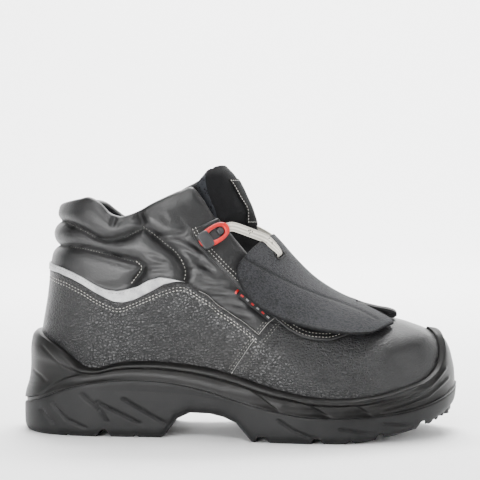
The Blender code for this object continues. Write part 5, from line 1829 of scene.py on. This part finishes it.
def plate(name: str, net: Net, along: Array, across: Array, top: Array, under: Array,
          spread: Array | None = None, finish_split: float = 2.0) -> Piece:
    """Builds a closed plate that follows a net.

    Args:
        name: The piece's name.
        net: The sheet that it follows.
        along: Places along.
        across: Places across.
        top: Height of the outer face over the net, as along by across.
        under: Height of the inner face.
        spread: Width factor for each place along.
        finish_split: Places across beyond this share take the second material.

    Returns:
        The piece, not yet made.
    """
    v, w = grid_places(along, across)
    wide = w if spread is None else w * np.repeat(spread, len(across))
    point, normal, _ = net.read(v, wide)
    outer = point + normal * top.reshape(-1, 1)
    inner = point + normal * under.reshape(-1, 1)
    total = len(v)
    # rim is 1 in a band at the border and over the whole inner face; the guard's finish paints these dark,
    # the inner face as painted shade.
    rim = 1.0 - np.minimum(np.minimum(v - along[0], along[-1] - v) / 0.02,
                           np.minimum(w - across[0], across[-1] - w) / 0.03).clip(0, 1)
    piece = Piece(name)
    faces = slab_faces(len(along), len(across), net.facing > 0)
    piece.add(np.concatenate((outer, inner)), faces, rim=np.concatenate((rim, np.ones(total))))
    piece.finish_of_face = [int(abs(w[face[0] % total]) > finish_split) for face in faces]
    return piece


@dataclass
class Tongue:
    """Padded tongue with its mesh border and the bare sewn label."""

    last: Last
    finishes: Finishes
    # station, x and height of the middle line under the throat, and the thickness there
    throat: Table = (
        (14.4, 234, 82.8, 2.6), (13, 222.5, 87, 2.8), (12, 206.8, 94, 3.2), (11, 188.5, 107.8, 3.8),
        (10, 174.5, 124, 4.6), (9.35, 169, 143, 5.6))
    # side edge, shoulder and middle above the throat, and the thickness there
    top: tuple = (
        ((134.5, 20.4, 157.5), (149, 20.4, 157), (164.6, 0, 157.5), 7),
        ((130, 19.6, 166), (146, 19.4, 166), (160.8, 0, 166), 8),
        ((127.3, 19.2, 173.5), (143.5, 18.4, 174.5), (156.6, 0, 174.8), 8.5),
        ((128, 18.2, 180), (140.5, 16.8, 183), (151.2, 0, 183.5), 8.5),
        ((132.5, 13.5, 185.8), (139, 11.5, 189), (145.2, 0, 190), 6))
    across: tuple[float, ...] = (-1.0, -0.7, 0.0, 0.7, 1.0)
    tuck: float = 10.0
    label: tuple[float, float, float, float] = (0.52, 0.85, 0.26, 0.48)
    net: Net = field(init=False)
    thick: Array = field(init=False)

    def __post_init__(self) -> None:
        """Works out the tongue's sheet."""
        rows, thick = [], []
        for station, x, height, depth in self.throat:
            side = []
            for place in (station, self.last.turn - station):
                levels, lift = (1.0 - self.tuck / SIDE_LENGTH, 1.0), -WALL - np.array((1.3, 1.0))
                side.extend(self.last.lifted(np.full(2, place), levels, lift))
            rows.append([side[0], side[1], (x, 0.0, height), side[3], side[2]])
            thick.append(depth)
        for edge, shoulder, middle, depth in self.top:
            rows.append(both_sides((edge, shoulder, middle)))
            thick.append(depth)
        self.net = Net(np.array([[tuple(point) for point in row] for row in rows]), self.across)
        self.thick = np.array(thick)

    def pad(self) -> None:
        """Builds the padded body, smooth in front and mesh at its edges."""
        along = np.concatenate((np.linspace(0.0, 0.93, 84), (0.95, 0.965, 0.978, 0.989, 0.996, 1.0)))
        bend = np.sin(np.linspace(-math.pi / 2, math.pi / 2, 61))
        across = bend * 0.35 + np.linspace(-1.0, 1.0, 61) * 0.65
        v, w = grid_places(along, across)
        depth = np.interp(v, np.linspace(0, 1, len(self.thick)), self.thick)
        rim = np.maximum(np.abs(w), np.clip((v - 0.9) / 0.1, 0, 1))
        round_off = np.sqrt(np.clip(1.0 - (np.clip(rim - 0.84, 0, 1) / 0.16) ** 2, 0.0, 1.0))
        seam = np.exp(-((np.abs(w) - 0.78) / 0.03) ** 2) * np.clip((v - 0.45) * 8, 0, 1)
        crest = 0.25 * np.sin(v * 31.0) * np.clip((v - 0.5) * 5, 0, 1) * (1 - np.abs(w))
        top = -depth * 0.5 * (1.0 - round_off) - 0.7 * seam + crest
        under = -depth * (0.5 + 0.5 * round_off) * (1.0 - 0.35 * np.abs(w) ** 4)
        piece = plate("tongue_pad", self.net, along, across, top, np.minimum(under, top - 0.2),
                      finish_split=0.88)
        total = len(along) * len(across)
        upper = [max(face) < total for face in piece.faces]
        piece.finish_of_face = [index if front else 1 for index, front in zip(piece.finish_of_face, upper)]
        item = piece.make([self.finishes.tongue, self.finishes.strip], 80.0)
        settle(item, "tongue_cloth", "tongue")

    def patch(self) -> None:
        """Builds the bare label and its border stitches."""
        first, final, low_reach, top_reach = self.label
        along = np.linspace(first, final, 40)
        across = np.linspace(-1.0, 1.0, 40)
        spread = np.interp(along, (first, final), (low_reach, top_reach))
        v, w = grid_places(along, across)
        edge = np.minimum(np.minimum(v - first, final - v) / 0.02, np.minimum(w + 1, 1 - w) / 0.06).clip(0, 1)
        under = np.full(len(v), GAP + 0.2)
        top = under + 0.3 + 0.35 * np.sqrt(edge)
        piece = plate("label_patch", self.net, along, across, top, under, spread)
        settle(piece.make([self.finishes.label]), "label_cloth", "tongue_label")
        inset, side = 0.016, 0.93
        corners = ((first + inset, -side * low_reach), (final - inset, -side * top_reach),
                   (final - inset, side * top_reach), (first + inset, side * low_reach),
                   (first + inset, -side * low_reach))
        rows = []
        for start, end in zip(corners[:-1], corners[1:]):
            points, normals = self.net.line((start, end), 1.9)
            rows.append((points + normals * (GAP + 0.92), normals))
        settle(Repeater(1.5, 0.5, 0.35).make("stitches_label", rows, self.finishes.thread), "lace")

    def build(self) -> None:
        """Builds the tongue and its label."""
        self.pad()
        self.patch()


@dataclass
class Guard:
    """Stiff shell over the instep, the layer under it and the folded tape in its notch."""

    finishes: Finishes
    # edge, side, shoulder and middle, from the back to the front
    rows: tuple = (
        ((160, 45.5, 122.5), (165, 36.5, 129.5), (173, 18.5, 137), (180, 0, 140.6)),
        ((159, 50.5, 113.5), (171, 39, 120.8), (180.5, 20, 130), (186, 0, 134.3)),
        ((168, 54, 98), (182, 41.5, 107.8), (191.5, 21.5, 118.2), (197, 0, 122.6)),
        ((186, 55, 86.5), (198, 42, 96.8), (206, 22, 106.4), (210, 0, 110.4)),
        ((210, 53.5, 79.2), (216, 39.5, 89), (220.5, 21.5, 97.4), (222, 0, 101.8)),
        ((234, 48, 75.6), (237, 35, 84.5), (236, 20, 91.7), (231, 0, 96.8)),
        ((250, 40, 75.2), (260, 30, 78.8), (264, 18.5, 82.6), (237, 0, 94.9)))
    across: tuple[float, ...] = (-1.0, -0.72, -0.36, 0.0, 0.36, 0.72, 1.0)
    # the pressed line along the lower part, on the side view
    crease: Line = (
        (160, 128), (166, 123.6), (177, 117), (188, 111), (200, 105), (217, 98), (231, 93), (244, 88),
        (254, 83))
    thick: float = 2.4
    lining_thick: float = 1.6
    lining_place: tuple[float, float, float] = (0.0, 0.66, 0.86)
    notch: tuple[float, float, float] = (239.0, 270.0, 17.0)
    slot_place: tuple[float, float] = (0.235, 0.31)
    slot_size: tuple[float, float, float] = (3.4, 9.0, 16.0)
    strap_route: Line = (
        (240.2, 92.6), (247, 91), (255, 89.2), (262, 88), (266.6, 86.2), (267.6, 83.6), (265, 81.6),
        (260, 82), (255.5, 82.8))
    strap_half: float = 7.6
    strap_thick: float = 3.0
    net: Net = field(init=False)

    def __post_init__(self) -> None:
        """Works out the guard's sheet."""
        self.net = Net(np.array([both_sides(row) for row in self.rows]), self.across, -1.0)

    def slot(self, side: Side) -> tuple[Array, Array, Array, Array]:
        """Centre and axes of a lace slot: along the guard, across it and out."""
        point, normal, ahead = self.net.read(np.array([self.slot_place[0]]),
                                             np.array([side.value * self.slot_place[1]]))
        return point[0], ahead[0], np.cross(normal[0], ahead[0]), normal[0]

    def cutter(self, name: str, centre: Array, axes: Array, size: tuple) -> Object:
        """Makes a box that cuts the guard.

        Args:
            name: The box's name.
            centre: Its centre.
            axes: Its three directions.
            size: Its three lengths.

        Returns:
            The box.
        """
        piece = Piece(name)
        verts = [centre + axes[0] * a * size[0] + axes[1] * b * size[1] + axes[2] * c * size[2]
                 for a in (-0.5, 0.5) for b in (-0.5, 0.5) for c in (-0.5, 0.5)]
        faces = [(0, 1, 3, 2), (4, 6, 7, 5), (0, 4, 5, 1), (2, 3, 7, 6), (0, 2, 6, 4), (1, 5, 7, 3)]
        piece.add(np.array(verts), faces)
        item = piece.make([self.finishes.guard])
        if np.linalg.det(np.array(axes)) < 0:
            item.data.flip_normals()
        return item

    def shells(self) -> None:
        """Builds the shell and the layer under it, with their slots and notch."""
        net = self.net
        along = np.concatenate(([0.0, 0.004, 0.012], np.linspace(0.024, 0.976, 92), [0.988, 0.996, 1.0]))
        across = np.concatenate(([-1.0, -0.996, -0.985], np.linspace(-0.97, 0.97, 100), [0.985, 0.996, 1.0]))
        v, w = grid_places(along, across)
        near = np.minimum(np.minimum(v, 1 - v) / 0.012, (1 - np.abs(w)) / 0.016).clip(0, 1)
        drop = 0.8 * (1.0 - np.sqrt(1.0 - (1.0 - near) ** 2))
        point = net.point(v, w)
        line = np.exp(-(distance(point, self.crease) / 0.7) ** 2) * (np.abs(w) > 0.2)
        bow = 0.35 * np.sin(v * 9.0 + 0.6) * np.cos(w * 4.0)
        shell = plate("guard_outer", net, along, across, bow - drop - 0.6 * line, bow + drop - self.thick)
        # The pressed line also darkens the colour through the seam value: painted shade in the crease.
        shell.values["seam"] = [np.concatenate((line, np.zeros(len(v))))]
        item = shell.make([self.finishes.guard], 60.0)
        first, final, reach = self.lining_place
        under_along = np.linspace(first, final, 50)
        under_across = np.linspace(-reach, reach, 60)
        size = len(under_along) * len(under_across)
        top = np.full(size, -(self.thick + GAP + 0.15))
        lining = plate("guard_under", net, under_along, under_across, top, top - self.lining_thick)
        layer = lining.make([self.finishes.label], 60.0)
        tools = []
        for side in Side:
            centre, ahead, aside, up = self.slot(side)
            tools.append(self.cutter("slot_" + side.name.lower(), centre, np.array((ahead, aside, up)),
                                     self.slot_size))
        start, end, width = self.notch
        middle = np.array(((start + end) / 2, 0.0, self.rows[-1][-1][2]))
        front = self.cutter("front_notch", middle, np.eye(3), (end - start, width, 40.0))
        for target, cutters in ((item, tools + [front]), (layer, tools)):
            for tool in cutters:
                change = target.modifiers.new(tool.name, "BOOLEAN")
                change.operation = "DIFFERENCE"
                change.object = tool
            apply_modifiers(target)
        for tool in tools + [front]:
            bpy.data.objects.remove(tool, do_unlink=True)
        settle(item, "guard", "guard_shell")
        settle(layer, "label_cloth", "guard_lining")

    def eyelets(self) -> None:
        """Adds the dark frames of the lace slots."""
        piece = Piece("slot_frames")
        for side in Side:
            centre, ahead, aside, up = self.slot(side)
            corners = [(-1.0, -1.0), (0.0, -1.05), (1.0, -1.0), (1.15, 0.0), (1.0, 1.0), (0.0, 1.05),
                       (-1.0, 1.0), (-1.15, 0.0), (-1.0, -1.0)]
            route = np.array([centre + ahead * a * 2.3 + aside * b * 5.2 + up * 0.15 for a, b in corners])
            ribbon(piece, route, np.tile(up, (len(route), 1)), 0.9, 1.1, sides=8, fine=4, power=2.0)
        settle(piece.make([self.finishes.hole]), "hook_dark")

    def strap(self) -> None:
        """Builds the tape folded in the front notch."""
        fine = smooth(self.strap_route, 90)
        run = heading(fine)
        inward = np.column_stack((run[:, 1], -run[:, 0]))
        centre = fine + inward * self.strap_thick / 2
        points = np.column_stack((centre[:, 0], np.zeros(len(centre)), centre[:, 1]))
        piece = Piece("folded_tape")
        wide = np.tile((0.0, 1.0, 0.0), (len(points), 1))
        ribbon(piece, points, wide, 2 * self.strap_half, self.strap_thick, sides=36, fine=1, power=7.0)
        settle(piece.make([self.finishes.webbing]), "webbing", "guard_strap")
        rows = []
        for y in (-5.9, 5.9):
            part = points[4:58]
            normals = np.column_stack((-run[4:58, 1], np.zeros(54), run[4:58, 0]))
            path = part + normals * (self.strap_thick / 2 + 0.02) + (0.0, y, 0.0)
            keep = resample(np.column_stack((path, normals)), 1.8)
            rows.append((keep[:, :3], keep[:, 3:]))
        settle(Repeater(1.3, 0.4, 0.3).make("stitches_tape", rows, self.finishes.dim_thread), "lace")

    def build(self) -> None:
        """Builds the guard's pieces."""
        self.shells()
        self.eyelets()
        self.strap()


@dataclass
class Lacing:
    """Lace hooks on the eyestay, the lace into the guard and the bars under it."""

    last: Last
    guard: Guard
    finishes: Finishes
    station: float = 8.5
    height: float = 139.5
    slope: tuple[float, float] = (0.83, 0.56)
    base: tuple[float, float, float] = (14.0, 10.0, 2.0)
    loop: tuple[float, float, float] = (24.0, 13.0, 2.8)
    hole: tuple[float, float] = (12.5, 7.2)
    lace_width: float = 6.4
    lace_turn: Table = (
        (-0.56, 0, 0.83), (-0.1, 0.05, 1), (0.3, 0.15, 0.95), (0.45, 0.3, 0.84), (0.47, 0.5, 0.72),
        (0.4, 0.85, 0.3), (0.37, 0.89, 0.25), (0.37, 0.89, 0.25))
    lace_thick: float = 1.3
    stay_thick: float = 1.3
    bars: tuple[float, ...] = (11.0, 11.25, 11.5, 11.75, 12.0, 12.25)

    def frame(self, side: Side) -> tuple[Array, Array, Array, Array]:
        """Origin and axes of a hook: along it, across it and out."""
        station = self.station if side is Side.LATERAL else self.last.turn - self.station
        levels = np.linspace(0.5, 1.0, 200)
        path = self.last.sheet(np.full(200, station), levels)
        level = levels[int(np.argmin(np.abs(path[:, 2] - self.height)))]
        at = (np.array([station]), np.array([level]))
        origin, out = self.last.sheet(*at)[0], self.last.outward(*at)[0]
        slope = np.array((self.slope[0], 0.0, self.slope[1]))
        along = unit(slope - out * (slope @ out))
        return origin, along, np.cross(out, along), out

    def hook(self, side: Side) -> None:
        """Builds one hook: grey base with its cover, and the red loop."""
        origin, along, across, out = self.frame(side)
        flip = np.linalg.det(np.array((along, across, out))) < 0
        seat = LEATHER_STEP + self.stay_thick + 2 * GAP + 0.6

        def put(outline: Array, shift: float, height: float) -> Array:
            """Places an outline over the eyestay."""
            return origin + along * (outline[:, :1] + shift) + across * outline[:, 1:] + out * height

        name, sides, around, steps = side.name.lower(), 40, 72, 14
        body = Piece("hook_body_" + name)
        blocks = (
            (self.base[0], self.base[1], -3.0, seat, self.base[2]),
            (8.6, 12.6, -7.2, seat + self.base[2] + GAP, 3.5),
            (4.4, 4.4, 5.4, seat + self.base[2] + GAP, 1.6),
        )
        for length, width, shift, low, tall in blocks:
            rings = [put(outline(length * k, width * k, sides, 4.0), shift, low + tall * h)
                     for k, h in ((0.94, 0.0), (1.0, 0.12), (1.0, 0.75), (0.96, 0.93), (0.86, 1.0))]
            caps = [range(sides)[::-1], range((len(rings) - 1) * sides, len(rings) * sides)]
            faces = list(strip_faces(len(rings), sides, loop=True, flip=flip))
            body.add(np.concatenate(rings), faces + [cap[::-1] if flip else cap for cap in caps])
        settle(body.make([self.finishes.grey]), "hook_dark", "hook_base_" + name)
        seat += self.base[2] + GAP
        outer = outline(self.loop[0], self.loop[1], around, 2.4)
        hole = outline(self.hole[0], self.hole[1], around, 2.6) + (2.0, 0.0)
        section = 0.5 + outline(1.0, 1.0, steps, 2.0 / 0.7)
        rings = [put(hole + (outer - hole) * flat, 0.0, seat + self.loop[2] * high) for flat, high in section]
        loop = Piece("hook_ring_" + name)
        faces = strip_faces(steps + 1, around, loop=True, flip=flip) % (steps * around)
        loop.add(np.concatenate(rings), faces)
        settle(loop.make([self.finishes.red], 80.0), "hook_red", "hook_loop_" + name)

    def lace(self, side: Side) -> None:
        """Runs the lace from the hook into the guard's slot."""
        origin, along, across, out = self.frame(side)
        slot, ahead, aside, up = self.guard.slot(side)
        sign = side.value
        under = LEATHER_STEP + self.stay_thick + 2 * GAP + 1.8
        start = origin + along * 10.2 + out * under
        leave = origin + along * 15.5 + out * (under + 0.4) + across * sign * 2.4
        point, normal, _ = self.guard.net.read(np.array([0.0, 0.12]), np.array([0.34, 0.32]) * sign)
        rest = point + normal * (self.lace_thick / 2 + 0.9)
        route = np.array([start, leave, (leave + rest[0]) / 2 + out * 0.8, rest[0], rest[1],
                          slot + up * 0.8 - ahead * 1.0, slot - up * 3.2, slot - up * 6.4 + ahead * 1.5])
        wide = np.array(self.lace_turn) * (1.0, -sign, 1.0)
        wide[[0, -3, -2, -1]] = (-sign * across, -sign * aside, -sign * aside, -sign * aside)
        piece = Piece("lace_run_" + side.name.lower())
        ribbon(piece, route, wide, self.lace_width, self.lace_thick, sides=20, fine=12, power=3.2)
        settle(piece.make([self.finishes.lace]), "lace", "lace_" + side.name.lower())

    def lace_bars(self, throat: Table) -> None:
        """Lays the lace's crossings over the tongue, under the guard."""
        piece = Piece("lace_crossings")
        table = np.asarray(throat)[::-1]
        lift = LEATHER_STEP + self.stay_thick + 2 * GAP + 0.35 + self.lace_thick / 2
        for station in self.bars:
            near, edge = self.last.lifted(np.full(2, station), 1.0 - np.array((9.0, 1.0)) / SIDE_LENGTH, lift)
            x, z = hermite(table[:, 0], table[:, 1:3], [station])[0]
            top = np.array((x, 0.0, z)) + np.array((0.72, 0.0, 0.69)) * (self.lace_thick / 2 + 1.1)
            route = np.array([near, edge, top, edge * (1, -1, 1), near * (1, -1, 1)])
            slope = np.tile((0.72, 0.0, -0.69), (5, 1))
            ribbon(piece, route, slope, 4.6, self.lace_thick, sides=14, fine=8, power=3.2)
        settle(piece.make([self.finishes.lace]), "lace", "lace_bars")

    def build(self) -> None:
        """Builds both hooks and the laces."""
        for side in Side:
            self.hook(side)
            self.lace(side)


@dataclass
class SideTape:
    """Small dashed tape on the eyestay's rear edge and the red loop above it."""

    upper: Upper
    finishes: Finishes
    line: Line = ((160.6, 102), (166, 97.6), (173.5, 91.6), (182, 84.6))
    width: float = 3.8
    thick: float = 0.8

    def build(self) -> None:
        """Builds both pieces on the lateral side."""
        route = smooth(np.asarray(self.line, float) - (1.5, 1.9), 40)
        stations, levels = self.upper.last.locate(route, Side.LATERAL)
        lift = LEATHER_STEP + self.thick / 2 + 0.9
        points, normals = self.upper.spaced(stations, levels, lift, 1.4)
        wide = np.cross(heading(points), normals)
        piece = Piece("dashed_tape")
        ribbon(piece, points, wide, self.width, self.thick, sides=16, fine=2, power=5.0)
        settle(piece.make([self.finishes.tape]), "webbing")
        tab = Piece("red_tab")
        start, up = points[0], normals[0]
        run = unit(points[1] - points[0])
        route = np.array([start - run * 2.2 + wide[0] * 1.6, start - run * 2.6 + up * 0.9 + wide[0] * 0.4,
                          start - run * 2.4 + up * 0.3 - wide[0] * 1.4])
        ribbon(tab, route, np.tile(run, (3, 1)), 1.5, 0.6, sides=10, fine=8, power=3.0)
        settle(tab.make([self.finishes.red]), "hook_red")


@dataclass
class Studio:
    """Camera, lights and the pale sweep that the boot stands on."""

    azimuth: float = 5.0
    elevation: float = 2.5
    reach: float = 1.0
    lens: float = 104.9
    aim: tuple[float, float, float] = (0.108, 0.0, 0.136)

    def camera(self) -> None:
        """Sets the camera at the photograph's angle."""
        data = bpy.data.cameras.new("camera")
        data.lens = self.lens
        data.sensor_width = 36.0
        item = new_object("camera", data)
        turn, rise = math.radians(self.azimuth), math.radians(self.elevation)
        back = Vector((math.sin(turn) * math.cos(rise), -math.cos(turn) * math.cos(rise), math.sin(rise)))
        item.location = Vector(self.aim) + back * self.reach
        item.rotation_mode = "QUATERNION"
        item.rotation_quaternion = (-back).to_track_quat("-Z", "Y")
        bpy.context.scene.camera = item

    def light(self, name: str, place: tuple, aim: tuple, size: float, power: float) -> None:
        """Adds a soft square light.

        Args:
            name: Its name.
            place: Where it hangs, in metres.
            aim: What it points at.
            size: Length of its side.
            power: Power in watts.
        """
        data = bpy.data.lights.new(name, "AREA")
        data.size = size
        data.energy = power
        item = new_object(name, data)
        item.location = place
        item.rotation_mode = "QUATERNION"
        item.rotation_quaternion = (Vector(aim) - Vector(place)).to_track_quat("-Z", "Y")

    def sweep(self) -> None:
        """Makes a pale round floor that curves up into a wall all round."""
        bend, reach, steps = 0.8, 3.0, 64
        profile = [(0.02, 0.0), (0.5, 0.0), (reach - bend, 0.0)]
        for angle in np.linspace(0.0, math.pi / 2, 12)[1:]:
            profile.append((reach - bend + bend * math.sin(angle), bend * (1.0 - math.cos(angle))))
        profile.append((reach, 3.2))
        turn = np.linspace(0.0, 2.0 * math.pi, steps, endpoint=False)
        verts = [(r * math.cos(a) + self.aim[0], r * math.sin(a), z) for r, z in profile for a in turn]
        faces = strip_faces(len(profile), steps, loop=True, flip=True).tolist()
        mesh = bpy.data.meshes.new("floor")
        mesh.from_pydata(verts, [], faces + [list(range(steps))])
        mesh.shade_smooth()
        shader = Shader("pale floor")
        across = shader.node("ShaderNodeSeparateXYZ", None, {0: shader.place()}, "Y")
        out = shader.node("ShaderNodeVectorMath", {"operation": "LENGTH"}, {0: shader.place()}, "Value")
        pale = across.span(-0.6, 1.2).most(1.0 - out.span(1.3, 2.6))
        cloud = shader.noise(400.0, 2.0)
        white = shader.mix(cloud, rgb(247, 247, 247), rgb(251, 251, 251))
        colour = shader.mix(pale, rgb(205, 205, 205), white)
        mesh.materials.append(shader.finish(Base_Color=colour, Roughness=0.9))
        new_object("floor", mesh)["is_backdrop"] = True

    def build(self) -> None:
        """Sets up the studio."""
        self.camera()
        world = bpy.data.worlds.new("studio")
        world.use_nodes = True
        sky = world.node_tree.nodes["Background"].inputs
        sky["Color"].default_value = (1.0, 1.0, 1.0, 1.0)
        sky["Strength"].default_value = 0.02
        bpy.context.scene.world = world
        target = (0.1, 0.0, 0.08)
        for name, place, aim, size, power in (
                ("key", (0.0, -0.85, 1.05), target, 0.5, 10.0),
                ("top", (0.2, 0.15, 1.2), target, 0.5, 14.0),
                ("front", (-0.5, -1.1, 0.4), target, 0.45, 4.0),
                ("low", (-0.25, -1.2, 0.1), target, 0.35, 13.0),
                ("side", (1.3, -0.7, 0.6), target, 0.5, 4.0),
                ("back", (0.1, 1.2, 2.0), (0.1, 2.5, 0.3), 1.6, 230.0)):
            self.light(name, place, aim, size, power)
        self.sweep()


def corners() -> list[list[float]]:
    """The shown object's box as plain lists."""
    low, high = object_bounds()
    return [list(low), list(high)]


def main() -> None:
    """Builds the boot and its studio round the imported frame."""
    logging.basicConfig(level=logging.INFO, format="%(message)s")
    for item in list(bpy.data.objects):
        bpy.data.objects.remove(item, do_unlink=True)
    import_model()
    Studio().build()
    last = Last()
    finishes = Finishes()
    upper = Upper(last, finishes)
    upper.build()
    Sole(last, finishes).build()
    tongue = Tongue(last, finishes)
    tongue.build()
    guard = Guard(finishes)
    guard.build()
    lacing = Lacing(last, guard, finishes)
    lacing.build()
    lacing.lace_bars(tongue.throat)
    SideTape(upper, finishes).build()


if __name__ == "__main__":
    main()
